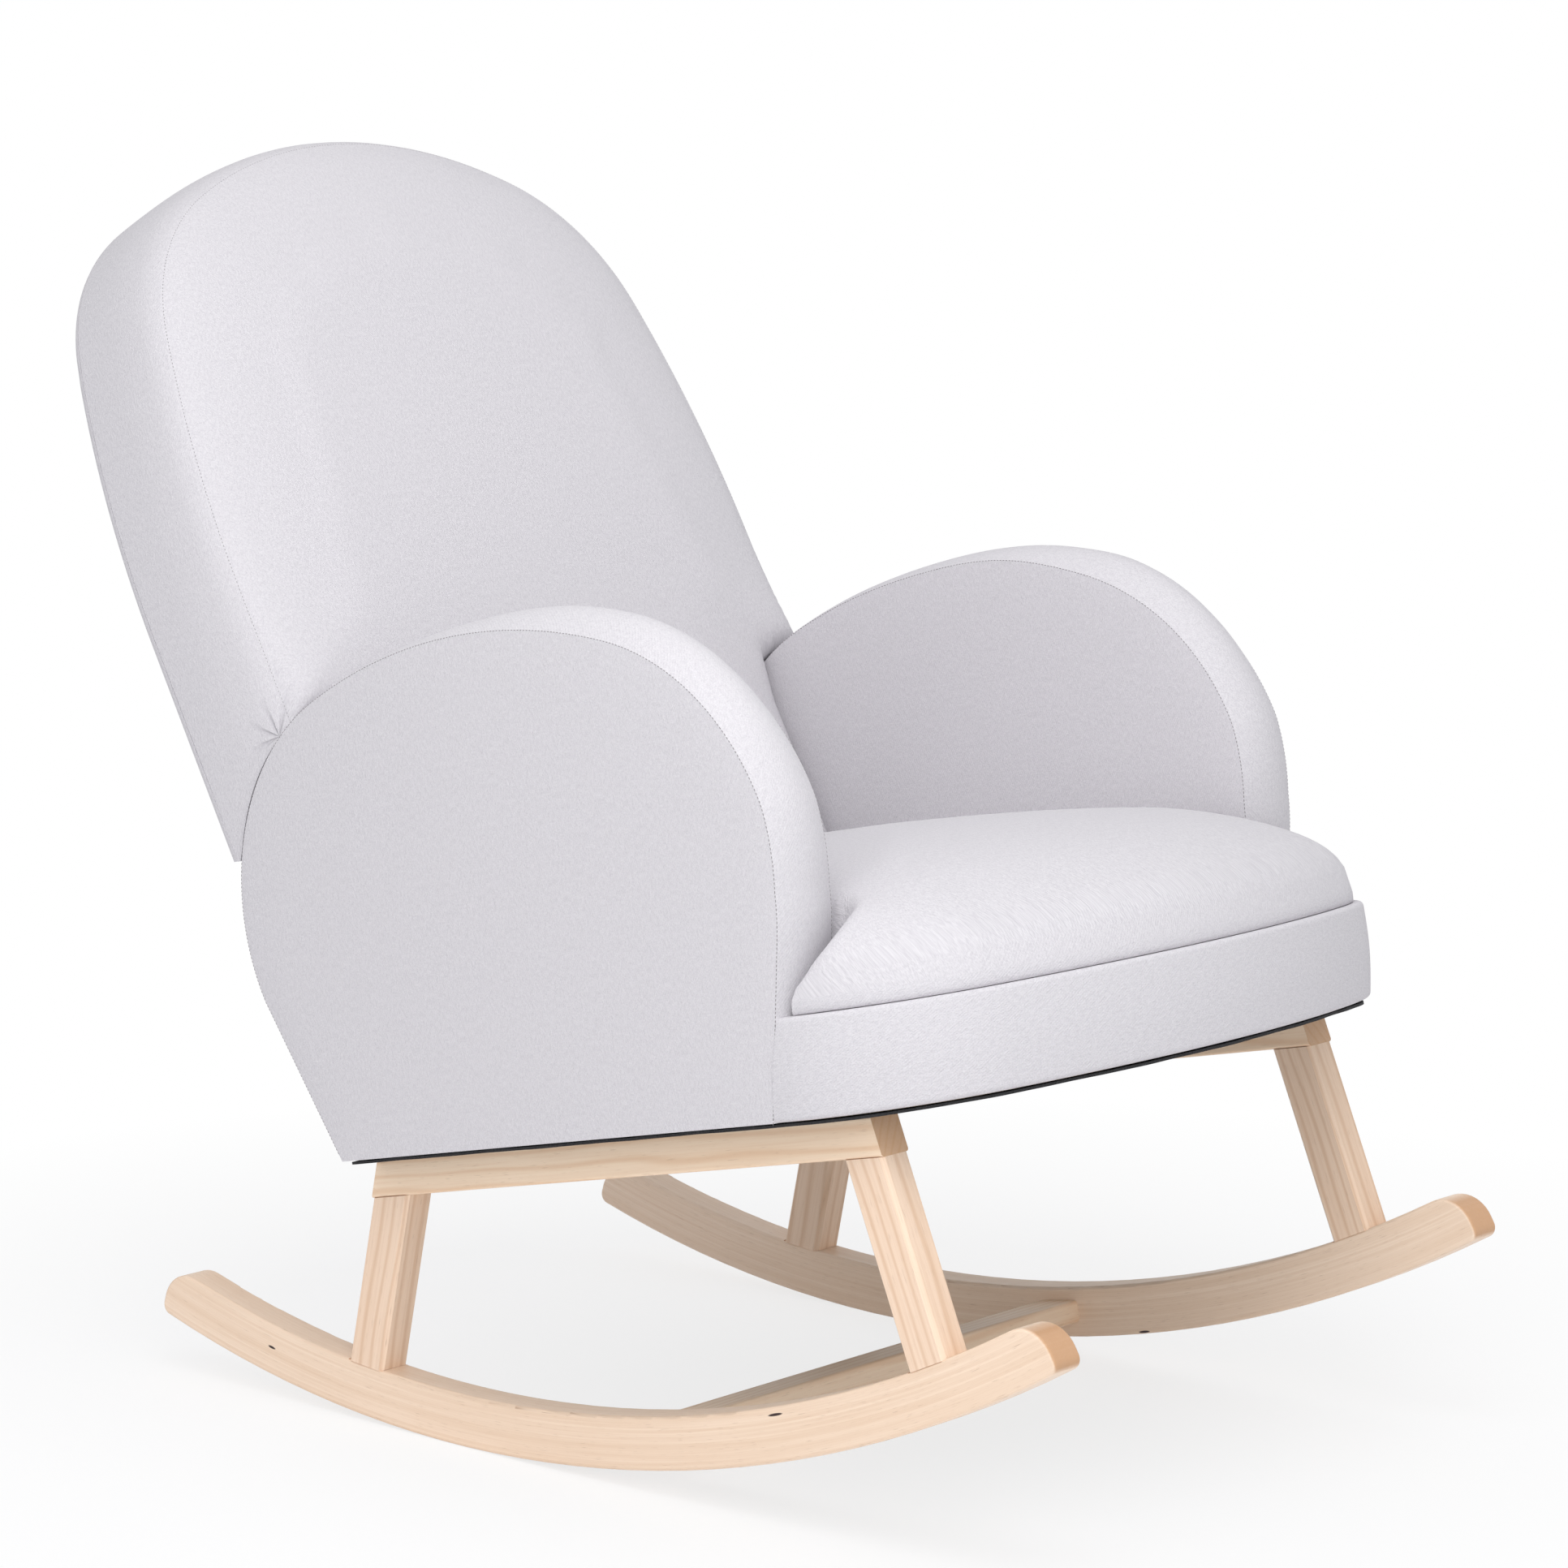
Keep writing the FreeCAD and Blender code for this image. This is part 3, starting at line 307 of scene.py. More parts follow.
def webbing_finish():
    finish = Finish("elastic_webbing")
    x, y, z = finish.split(finish.position())
    rib = (y * (2 * math.pi / 0.003)).math("SINE") * (x * (2 * math.pi / 0.003)).math("SINE")
    worn = finish.noise(finish.join(x * 60.0, y * 60.0, z * 60.0), 2.0)
    finish.set(Base_Color=finish.blend(rib.between(-0.6, 0.8) * 0.7 + worn * 0.3, STRAP_DARK, STRAP_LIGHT),
               Roughness=0.8)
    finish.bump(rib, 0.0004, 0.6)
    return finish.material


dress(webbing_finish(), "seat_webbing", "back_webbing")


# Arms: half-round foam pads over the plywood cores, in a cover of two flat sides and one long band.
# The seams run along the edges of the band; the cover is pulled over the core and stapled below.

ARM_OUT = 0.298
ARM_IN = 0.241
ARM_FOOT = -0.405
ARM_TUCK = 0.006
COVER_BOTTOM = 0.222
ARM_FRONT_LEAN = math.radians(13.7)
ARM_FRONT_RUN = 0.1286
ARM_ARCS = ((0.188, 86.0), (0.467, 38.0), (0.171, 88.6))
ARM_CROWN = 0.013
ARM_TILT = 0.005
# Where the band is fullest and tilted, and how far that reaches, as shares of the arm's line.
ARM_SHOULDER = 0.385
ARM_SHOULDER_SPAN = 0.13
ARM_TILT_AT = 0.49
ARM_TILT_SPAN = 0.075
TUCK_TOP = 0.44
TUCK_RUN = 0.06
ARM_REAR_LEAN = math.radians(24.1)
ARM_SWELL = 0.0008
ARM_SWELL_RUN = 0.02
COVER_PITCH = 0.0065
SEAM_EASE = 0.0026
EVENING = 20
STUFFING = 2.0
STUFFING_STEPS = 20
TWILL = 0.0018
PLEAT_REACH = 0.034
CLOTH_PALE = (0.715, 0.696, 0.722, 1.0)
CLOTH_SHADE = (0.57, 0.55, 0.583, 1.0)


def cloth_finish(name, pinch=None):
    """Off-white crepe cloth with a fine twill; its UV map is in metres. It may be pleated round a point, with
    painted shade in the pleats' creases.
    """
    finish = Finish(name)
    u, v, _ = finish.split(finish.add("ShaderNodeUVMap", {"uv_map": "weave"}))
    wander = finish.noise(finish.join(u * 35.0, v * 35.0, 0.0), 2.0) - 0.5
    twill = ((u * 0.8 + v * 0.6) * (2 * math.pi / TWILL) + wander * 12.0).math("SINE")
    crinkle = finish.noise(finish.join(u * 520.0 + wander * 2.0, v * 230.0, 0.0), 2.0, 0.6)
    slub = finish.noise(finish.join(u * 160.0, v * 40.0, 7.0), 1.0).between(0.60, 0.75)
    fibre = finish.noise(finish.join(u * 1300.0, v * 800.0, 3.0), 1.0)
    relief = crinkle * 0.75 + twill * 0.08 + slub * 0.10 + fibre * 0.45
    shade = crinkle.between(0.61, 0.37) * 0.42 + fibre.between(0.61, 0.39) * 0.55
    shade = shade + twill.between(0.6, -0.9) * 0.12
    if pinch:
        x, y, z = finish.split(finish.position())
        x, y, z = x.math("ABSOLUTE") - pinch[0], y - pinch[1], z - pinch[2]
        near = (x ** 2.0 + y ** 2.0 + z ** 2.0).math("SQRT").between(PLEAT_REACH, 0.004)
        folds = (z.math("ARCTAN2", y) * 9.0 + wander * 5.0).math("SINE").between(0.1, 1.0)
        relief = relief - folds * near * 2.5
        # Painted shade: the pleats' creases are darkened in the colour.
        shade = shade + folds * near * 0.9
    finish.set(Base_Color=finish.blend(shade * 0.8, CLOTH_PALE, CLOTH_SHADE), Roughness=0.92)
    finish.shader.inputs["Specular IOR Level"].default_value = 0.15
    finish.shader.inputs["Sheen Weight"].default_value = 0.12
    finish.shader.inputs["Sheen Roughness"].default_value = 0.5
    finish.bump(relief, 0.0011, 0.6)
    return finish.material


cloth = cloth_finish("upholstery_cloth")


def stand(x, s, t):
    """Place a point of the level seat (s back, t up) in the leaned, standing chair."""
    return Vector((x, floor_line[1], 0)) + level_back * s + level_up * t


def sweep_points(start, heading, moves, grow):
    """Points along a path of straight runs and right-hand arcs, at a distance outside it."""
    spot = Vector(start)
    points = []
    for radius, amount in moves:
        out = Vector((-math.sin(heading), math.cos(heading)))
        run = Vector((math.cos(heading), math.sin(heading)))
        length = amount if radius is None else radius * amount
        steps = max(2, round(length / COVER_PITCH))
        centre = spot - out * (radius or 0.0)
        for k in range(steps):
            if radius is None:
                points.append(spot + run * (amount * k / steps) + out * grow)
            else:
                turn = heading - amount * k / steps
                points.append(centre + Vector((-math.sin(turn), math.cos(turn))) * (radius + grow))
        if radius is None:
            spot = spot + run * amount
        else:
            heading -= amount
            spot = centre + Vector((-math.sin(heading), math.cos(heading))) * radius
    out = Vector((-math.sin(heading), math.cos(heading)))
    return points + [spot + out * grow]


def arm_rise(x, along):
    """How far the band of an arm stands over its outline: crowned, and fullest over its front shoulder.
    Along the top its inner seam is the higher one."""
    across = np.clip((abs(x) - (ARM_IN + ARM_OUT) / 2) / ((ARM_OUT - ARM_IN) / 2), -1, 1)
    crown = ARM_CROWN * (0.5 + 0.75 * math.exp(-((along - ARM_SHOULDER) / ARM_SHOULDER_SPAN) ** 2))
    tilt = ARM_TILT * math.exp(-((along - ARM_TILT_AT) / ARM_TILT_SPAN) ** 2)
    return float(crown * (1 - across ** 2) + tilt * (1 - across) / 2)


def arm_outline(x, gap=0.0):
    """Side view of an arm at a place across it: front foot, over the top, rear foot, then along the hem."""
    heading = math.pi / 2 + ARM_FRONT_LEAN
    moves = [(None, ARM_FRONT_RUN)] + [(radius, math.radians(turn)) for radius, turn in ARM_ARCS]
    start = (ARM_FOOT - ARM_TUCK, COVER_BOTTOM)
    line = sweep_points(start, heading, moves, 0.0)
    away = sweep_points(start, heading, moves, 1.0)
    points = [p.lerp(out, arm_rise(x, k / len(line)) + gap) for k, (p, out) in enumerate(zip(line, away))]
    for k in range(len(points) // 3):
        points[k].x += ARM_TUCK * np.clip((TUCK_TOP - points[k].y) / TUCK_RUN, 0, 1)
    last = points[-1]
    rear = Vector((last.x - (last.y - COVER_BOTTOM) * math.tan(ARM_REAR_LEAN), COVER_BOTTOM))
    steps = round((line[-1].y - COVER_BOTTOM) / COVER_PITCH)
    points += [last.lerp(rear, k / steps) for k in range(1, steps)]
    points[0] = Vector((points[0].x, COVER_BOTTOM))
    hem = round((line[-1].x - ARM_FOOT) / COVER_PITCH)
    shaped = len(points)
    points += [rear.lerp(points[0], k / hem) for k in range(hem)]
    return points, shaped


def line_distance(points, line):
    """Distance of each point from a line of straight pieces."""
    edge = np.diff(line, axis=0)
    away = points[:, None, :] - line[None, :-1, :]
    share = np.clip((away * edge).sum(2) / (edge ** 2).sum(1), 0, 1)
    return np.sqrt(((away - share[..., None] * edge) ** 2).sum(2).min(1))


def rim_distance(points, rim):
    """How deep each point lies inside a closed outline, negative outside it."""
    closed = np.vstack([rim, rim[:1]])
    x, y = points[:, None, 0], points[:, None, 1]
    first, after = closed[None, :-1], closed[None, 1:]
    rise = (first[..., 1] > y) != (after[..., 1] > y)
    with np.errstate(divide="ignore", invalid="ignore"):
        slope = (after[..., 0] - first[..., 0]) / (after[..., 1] - first[..., 1])
        cross = first[..., 0] + (y - first[..., 1]) * slope
    inside = (rise & (x < cross)).sum(1) % 2 == 1
    return line_distance(points, closed) * np.where(inside, 1, -1)


def inset_line(outline, distance):
    """A closed outline drawn in by a distance."""
    rim = np.array([tuple(p) for p in outline])
    tangent = np.roll(rim, -1, axis=0) - np.roll(rim, 1, axis=0)
    inward = np.stack([-tangent[:, 1], tangent[:, 0]], 1) / np.linalg.norm(tangent, axis=1)[:, None]
    after = np.roll(rim, -1, axis=0)
    turns = np.sign((rim[:, 0] * after[:, 1] - after[:, 0] * rim[:, 1]).sum())
    return rim + inward * distance * turns


def flat_panel(outline, pitch):
    """Fill an outline with even triangles: its own points first, one ring beside them, then a lattice."""
    rim = np.array([tuple(p) for p in outline])
    ring = inset_line(rim, SEAM_EASE)
    ring = ring[rim_distance(ring, rim) > 0.8 * SEAM_EASE]
    low, high = rim.min(0), rim.max(0)
    lattice = []
    for k, y in enumerate(np.arange(low[1], high[1], pitch * math.sqrt(0.75))):
        lattice += [(x + (k % 2) * pitch / 2, y) for x in np.arange(low[0], high[0], pitch)]
    lattice = np.array(lattice)
    lattice = lattice[rim_distance(lattice, rim) > SEAM_EASE + 0.55 * pitch]
    points = np.vstack([rim, ring, lattice])
    made = delaunay_2d_cdt([Vector(p) for p in points], [], [list(range(len(rim)))], 1, 1e-7)
    source = [found[0] for found in made[3]]
    triangles = [tuple(source[v] for v in face) for face in made[2]]
    return points, triangles, np.maximum(rim_distance(points, rim), 0)


def sewn_piece(name, vertices, faces, maps):
    """A closed cover of cloth from its points, faces and the places of their corners on the cloth."""
    mesh = bpy.data.meshes.new(name)
    mesh.from_pydata(vertices, [], faces)
    weave = mesh.uv_layers.new(name="weave")
    weave.data.foreach_set("uv", [value for face in maps for pair in face for value in pair])
    outward = bmesh.new()
    outward.from_mesh(mesh)
    bmesh.ops.recalc_face_normals(outward, faces=outward.faces)
    outward.to_mesh(mesh)
    outward.free()
    mesh.materials.append(cloth)
    piece = bpy.data.objects.new(name, mesh)
    bpy.context.scene.collection.objects.link(piece)
    return piece


class Pad:
    """A boxed cover: a front and a rear panel joined by a band of rows, each row a closed outline."""

    def __init__(self, name, rows, place, front_swell, rear_swell, pitches=(COVER_PITCH, COVER_PITCH)):
        """rows are (depth, outline); a swell gives a panel's rise from its points and their rim distance."""
        self.count = len(rows[0][1])
        self.rows = len(rows)
        vertices = [place(point, depth) for depth, outline in rows for point in outline]
        faces, maps = self.band(rows)
        ends = ((0, -1, front_swell, pitches[0]), (self.rows - 1, 1, rear_swell, pitches[1]))
        for row, side, swell, pitch in ends:
            depth, outline = rows[row]
            points, triangles, rim = flat_panel(outline, pitch)
            rise = swell(points, rim)
            start = len(vertices) - self.count
            vertices += [place(p, depth + side * up) for p, up in zip(points[self.count:], rise[self.count:])]
            for triangle in triangles:
                faces.append([row * self.count + v if v < self.count else start + v for v in triangle])
                maps.append([(points[v][0], points[v][1] - rise[v]) for v in triangle])
        self.piece = sewn_piece(name, vertices, faces, maps)

    def band(self, rows):
        """Quads between neighbouring rows, mapped by the length along the band and across it."""
        outline = np.array([tuple(p) for p in rows[self.rows // 2][1]])
        step = np.linalg.norm(np.roll(outline, -1, axis=0) - outline, axis=1)
        reach = np.concatenate([[0], np.cumsum(step)])
        faces, maps = [], []
        for row in range(self.rows - 1):
            for k in range(self.count):
                here, there = row * self.count, (row + 1) * self.count
                after = (k + 1) % self.count
                faces.append([here + k, here + after, there + after, there + k])
                low, high = rows[row][0], rows[row + 1][0]
                maps.append([(low, reach[k]), (low, reach[k + 1]), (high, reach[k + 1]), (high, reach[k])])
        return faces, maps

    def seam(self, row):
        """Numbers of the points on a row, in order."""
        return list(range(row * self.count, (row + 1) * self.count))


def points_of(piece):
    flat = np.empty(len(piece.data.vertices) * 3)
    piece.data.vertices.foreach_get("co", flat)
    return flat.reshape(-1, 3)


def move_points(piece, places):
    piece.data.vertices.foreach_set("co", np.asarray(places, dtype=float).ravel())
    piece.data.update()


def evened(piece, moves, held):
    """Moves of a cover's points, evened out between neighbours as tight cloth does."""
    pairs = np.empty(len(piece.data.edges) * 2, dtype=int)
    piece.data.edges.foreach_get("vertices", pairs)
    first, second = pairs.reshape(-1, 2).T
    ties = np.bincount(pairs, minlength=len(moves))[:, None]
    for _ in range(EVENING):
        total = np.zeros_like(moves)
        np.add.at(total, first, moves[second])
        np.add.at(total, second, moves[first])
        moves = 0.5 * moves + 0.5 * total / ties
        moves[held] = 0.0
    return moves


def fill_out(piece, held, pressure, most):
    """Swell a cover as its stuffing does, with some points held, by no more than a set distance."""
    before = points_of(piece)
    piece.vertex_groups.new(name="held").add(held, 1.0, "REPLACE")
    stuffing = piece.modifiers.new("stuffing", "CLOTH")
    settings = stuffing.settings
    settings.quality = 6
    settings.mass = 0.3
    settings.tension_stiffness = 25.0
    settings.compression_stiffness = 25.0
    settings.shear_stiffness = 15.0
    settings.bending_stiffness = 4.0
    settings.use_pressure = True
    settings.uniform_pressure_force = pressure
    settings.effector_weights.gravity = 0.0
    settings.vertex_group_mass = "held"
    stuffing.collision_settings.use_collision = False
    scene = bpy.context.scene
    for step in range(1, STUFFING_STEPS + 1):
        scene.frame_set(step)
    swollen = piece.evaluated_get(bpy.context.evaluated_depsgraph_get()).to_mesh()
    flat = np.empty(len(swollen.vertices) * 3)
    swollen.vertices.foreach_get("co", flat)
    moved = evened(piece, flat.reshape(-1, 3) - before, held)
    length = np.linalg.norm(moved, axis=1, keepdims=True)
    piece.modifiers.remove(stuffing)
    scene.frame_set(1)
    move_points(piece, before + moved * most * np.tanh(length / most) / np.maximum(length, 1e-9))


def soften(piece, angle):
    """Smooth shading, with an edge kept at seams and hems."""
    piece.data.shade_smooth()
    piece.data.set_sharp_from_angle(angle=math.radians(angle))


def spread(low, high, ease, pitch):
    """Even places from low to high, with one close to each end."""
    steps = max(2, round((high - low - 2 * ease) / pitch))
    inner = np.linspace(low + ease, high - ease, steps + 1)
    return [low, *inner, high]


def arm_pad(name, side):
    rows = [(x, arm_outline(x)[0]) for x in spread(ARM_IN, ARM_OUT, SEAM_EASE, COVER_PITCH)]

    def place(point, x):
        return stand(side * x, point[0], point[1])

    def swell(points, rim):
        return ARM_SWELL * (1 - np.exp(-rim / ARM_SWELL_RUN))

    pad = Pad(name, rows, place, swell, swell)
    held = pad.seam(0) + pad.seam(pad.rows - 1)
    fill_out(pad.piece, held, STUFFING, ARM_SWELL)
    soften(pad.piece, 28)
    return pad


# Stitches: polyester thread, sewn through the covers along their seams, coloured dark grey as painted shade
# of the seam's groove and needle holes.
# One tree of nodes lays a short thread at every pitch along a line of a cover's points.

STITCH_PITCH = 0.0030
STITCH_LENGTH = 0.0024
STITCH_RADIUS = 0.00034
# Painted shade: the threads' dark greys stand in for the shadowed seam line, with a twist of the ply between
# them.
SEAM_SHADE_LIGHT = (0.32, 0.30, 0.31, 1.0)
SEAM_SHADE_DARK = (0.17, 0.16, 0.16, 1.0)


def seam_shade_finish():
    finish = Finish("seam_shade_thread")
    x, y, z = finish.split(finish.position())
    ply = ((x + y + z) * (2 * math.pi / 0.0009)).math("SINE")
    finish.set(Base_Color=finish.blend(ply.between(-1.0, 1.0), SEAM_SHADE_LIGHT, SEAM_SHADE_DARK), Roughness=0.7)
    return finish.material


def stitch_tree():
    """Nodes that lay one thread every pitch along the edges of a seam."""
    tree = bpy.data.node_groups.new("stitches", "GeometryNodeTree")
    make = tree.nodes.new
    link = tree.links.new
    face = tree.interface
    face.new_socket("Seam", in_out="INPUT", socket_type="NodeSocketGeometry")
    for label in ("Pitch", "Length", "Radius"):
        face.new_socket(label, in_out="INPUT", socket_type="NodeSocketFloat")
    face.new_socket("Thread", in_out="INPUT", socket_type="NodeSocketMaterial")
    face.new_socket("Stitches", in_out="OUTPUT", socket_type="NodeSocketGeometry")
    given = make("NodeGroupInput").outputs
    curve = make("GeometryNodeMeshToCurve")
    link(given["Seam"], curve.inputs["Mesh"])
    dots = make("GeometryNodeCurveToPoints")
    dots.mode = "LENGTH"
    link(curve.outputs["Curve"], dots.inputs["Curve"])
    link(given["Pitch"], dots.inputs["Length"])
    turn = make("FunctionNodeAlignRotationToVector")
    turn.axis = "Z"
    link(dots.outputs["Tangent"], turn.inputs["Vector"])
    bead = make("GeometryNodeMeshIcoSphere")
    bead.inputs["Subdivisions"].default_value = 1
    size = make("ShaderNodeCombineXYZ")
    half = make("ShaderNodeMath")
    half.operation = "MULTIPLY"
    half.inputs[1].default_value = 0.5
    link(given["Length"], half.inputs[0])
    link(given["Radius"], size.inputs["X"])
    link(given["Radius"], size.inputs["Y"])
    link(half.outputs[0], size.inputs["Z"])
    thread = make("GeometryNodeInstanceOnPoints")
    link(dots.outputs["Points"], thread.inputs["Points"])
    link(bead.outputs["Mesh"], thread.inputs["Instance"])
    link(turn.outputs["Rotation"], thread.inputs["Rotation"])
    link(size.outputs[0], thread.inputs["Scale"])
    real = make("GeometryNodeRealizeInstances")
    link(thread.outputs["Instances"], real.inputs[0])
    paint = make("GeometryNodeSetMaterial")
    link(real.outputs[0], paint.inputs["Geometry"])
    link(given["Thread"], paint.inputs["Material"])
    link(paint.outputs[0], make("NodeGroupOutput").inputs["Stitches"])
    return tree


thread = seam_shade_finish()
stitching = stitch_tree()


def stitch(name, piece, lines, lift):
    """Sew lines of a piece's points; the threads ride with the chair."""
    places = points_of(piece)
    normals = np.array([v.normal for v in piece.data.vertices])
    vertices, edges = [], []
    for chosen in lines:
        start = len(vertices)
        vertices += [tuple(places[k] + normals[k] * lift) for k in chosen]
        edges += [(start + k, start + k + 1) for k in range(len(chosen) - 1)]
    mesh = bpy.data.meshes.new(name + "_path")
    mesh.from_pydata(vertices, edges, [])
    sewn = bpy.data.objects.new(name, mesh)
    bpy.context.scene.collection.objects.link(sewn)
    nodes_on = sewn.modifiers.new("stitches", "NODES")
    nodes_on.node_group = stitching
    given = {"Pitch": STITCH_PITCH, "Length": STITCH_LENGTH, "Radius": STITCH_RADIUS, "Thread": thread}
    for socket in stitching.interface.items_tree:
        if socket.name in given:
            nodes_on[socket.identifier] = given[socket.name]
    graph = bpy.context.evaluated_depsgraph_get()
    made = bpy.data.meshes.new_from_object(sewn.evaluated_get(graph), depsgraph=graph)
    sewn.modifiers.remove(nodes_on)
    sewn.data = made
    made.name = name
    made.shade_smooth()
    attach(sewn, "chair")
    return sewn


def finish_pad(piece, fill, *replaced):
    """A padded piece of the chair, shown in place of its CAD solids."""
    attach(piece, "chair")
    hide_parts(*replaced)


for hand, side in (("left", 1), ("right", -1)):
    arm = arm_pad("arm_cover_" + hand, side)
    shaped = arm_outline(ARM_OUT)[1]
    seams = [arm.seam(0)[:shaped], arm.seam(arm.rows - 1)[:shaped]]
    stitch("arm_stitches_" + hand, arm.piece, seams, -0.0001)
    finish_pad(arm.piece, 0.8, "arm_pad_" + hand)


# Back: a deep foam pad on straps and an arched frame, in a cover of a crowned face and a wide band
# that turn softly into each other at their seam.
# Its lower corners are cut away round the arms; its foot is pressed in between them, down to the deck.

BACK_S = 0.0383
BACK_T = 0.600
BACK_RECLINE = math.radians(17.1)
BACK_HALF = 0.2885
BACK_SPRING = 0.060
BACK_SIDE_R = 0.950
BACK_SIDE_TURN = math.radians(13.0)
BACK_TOP = 0.4325
BACK_TOP_R = 0.380
BACK_DEPTH = 0.100
BACK_FACE_CROWN = 0.0187
BACK_FACE_EASE = 0.096
BACK_BAND_CROWN = 0.0070
BACK_BAND_EASE = 0.06
BACK_EDGE = 0.0045
BACK_EDGE_EASE = 0.02
BACK_PAD_FOOT = 0.298
BACK_SHOULDER = 0.455
BACK_NECK = 0.2385
ARM_GAP = 0.0016
SHOULDER_FULL = 0.007
SHOULDER_LOW = 0.29
SHOULDER_RUN = 0.15
SEAM_SINK = 0.0004
PINCH_DEPTH = 0.015
CREASE_DEPTH = 0.010
CREASE_RUN = 0.04
CREASE_WIDTH = 0.02
CREASE_FADE = 0.03
SQUEEZE_REACH = 0.06
SQUEEZE_EASE = 0.05
BACK_SWELL = 0.0025


def eased(share):
    """Quarter-round rise from 0 to 1."""
    return np.sqrt(1 - (1 - np.minimum(share, 1)) ** 2)


def domed(share):
    """Softer rise from 0 to 1, sloping at its foot."""
    return 1 - (1 - np.minimum(share, 1)) ** 2


def level(points, rim):
    return np.zeros(len(points))


def recline(x, q, v):
    """Place a point of the back's own plane (q behind its face, v up it) in the standing chair."""
    c, s = math.cos(BACK_RECLINE), math.sin(BACK_RECLINE)
    return stand(x, BACK_S + v * s + q * c, BACK_T + v * c - q * s)


def arch_moves():
    """Arcs of the back's arch, from its left side over the top to its right side."""
    lean = Vector((math.cos(BACK_SIDE_TURN), math.sin(BACK_SIDE_TURN)))
    side_end = Vector((BACK_HALF - BACK_SIDE_R, BACK_SPRING - BACK_TOP + BACK_TOP_R)) + lean * BACK_SIDE_R
    shoulder_r = (BACK_TOP_R ** 2 - side_end.length_squared) / (2 * (BACK_TOP_R - side_end.dot(lean)))
    shoulder = side_end - lean * shoulder_r
    tilt = math.atan2(shoulder.y, shoulder.x)
    rise = [(BACK_SIDE_R, BACK_SIDE_TURN), (shoulder_r, tilt - BACK_SIDE_TURN)]
    return rise + [(BACK_TOP_R, math.pi - 2 * tilt)] + rise[::-1]


def arm_top(x, q):
    """Height in the back's plane of the arm, or of the air behind it, at a depth behind the back's seam."""
    outline, shaped = arm_outline(x, ARM_GAP)
    c, s = math.cos(BACK_RECLINE), math.sin(BACK_RECLINE)
    spots = np.array([tuple(p) for p in outline[:shaped]]) - (BACK_S, BACK_T)
    depth = spots[:, 0] * c - spots[:, 1] * s
    height = spots[:, 0] * s + spots[:, 1] * c
    first, last = np.argmax(spots[:, 1]), np.argmax(depth)
    arm = np.interp(q, depth[first:last], height[first:last], right=-1.0)
    return max(arm, (BACK_SHOULDER - BACK_T + q * s) / c)


def back_outline(q, bulge, foot):
    """Outline of the back at a depth: foot, neck between the arms, step over an arm, side and arch."""
    c, s = math.cos(BACK_RECLINE), math.sin(BACK_RECLINE)
    low = (foot - BACK_T + q * s) / c
    half = BACK_HALF + bulge
    lengths = (BACK_T - foot, BACK_HALF - BACK_NECK, BACK_T - BACK_SHOULDER + BACK_SPRING)
    steps = [round(length / COVER_PITCH) for length in lengths]
    neck = np.linspace(low, arm_top(BACK_NECK, q), steps[0] + 1)[:-1]
    over = np.linspace(BACK_NECK, half, steps[1] + 1)[:-1]
    side = np.linspace(arm_top(half, q), BACK_SPRING, steps[2] + 1)[:-1]
    rise = [(BACK_NECK, v) for v in neck] + [(x, arm_top(x, q)) for x in over] + [(half, v) for v in side]
    flat = sweep_points((-BACK_HALF, BACK_SPRING), math.pi / 2, arch_moves(), bulge)
    full = sweep_points((-BACK_HALF, BACK_SPRING), math.pi / 2, arch_moves(), bulge + SHOULDER_FULL)
    fill = domed(q / BACK_DEPTH)
    shares = [fill * domed(max(p.y - SHOULDER_LOW, 0) / SHOULDER_RUN) for p in flat]
    arch = [tuple(p.lerp(out, share)) for p, out, share in zip(flat, full, shares)]
    width = round(2 * BACK_NECK / COVER_PITCH)
    hem = [(BACK_NECK - 2 * BACK_NECK * k / width, low) for k in range(1, width)]
    points = [(-x, v) for x, v in rise] + arch + list(reversed(rise)) + hem
    first = steps[0] + steps[1]
    return points, range(first, len(rise) * 2 + len(arch) - first)


def band_bulge(q):
    """How far the back's band stands out at a depth: drawn in round to its seam, then lightly crowned."""
    drawn = BACK_EDGE * (1 - domed((q - BACK_EDGE) / BACK_EDGE_EASE))
    return BACK_BAND_CROWN * domed(q / BACK_BAND_EASE) - drawn


def sink(piece, chosen, depth):
    """Draw a seam in, between the panels that it joins."""
    places = points_of(piece)
    normals = np.array([v.normal for v in piece.data.vertices])
    places[chosen] -= normals[chosen] * depth
    move_points(piece, places)


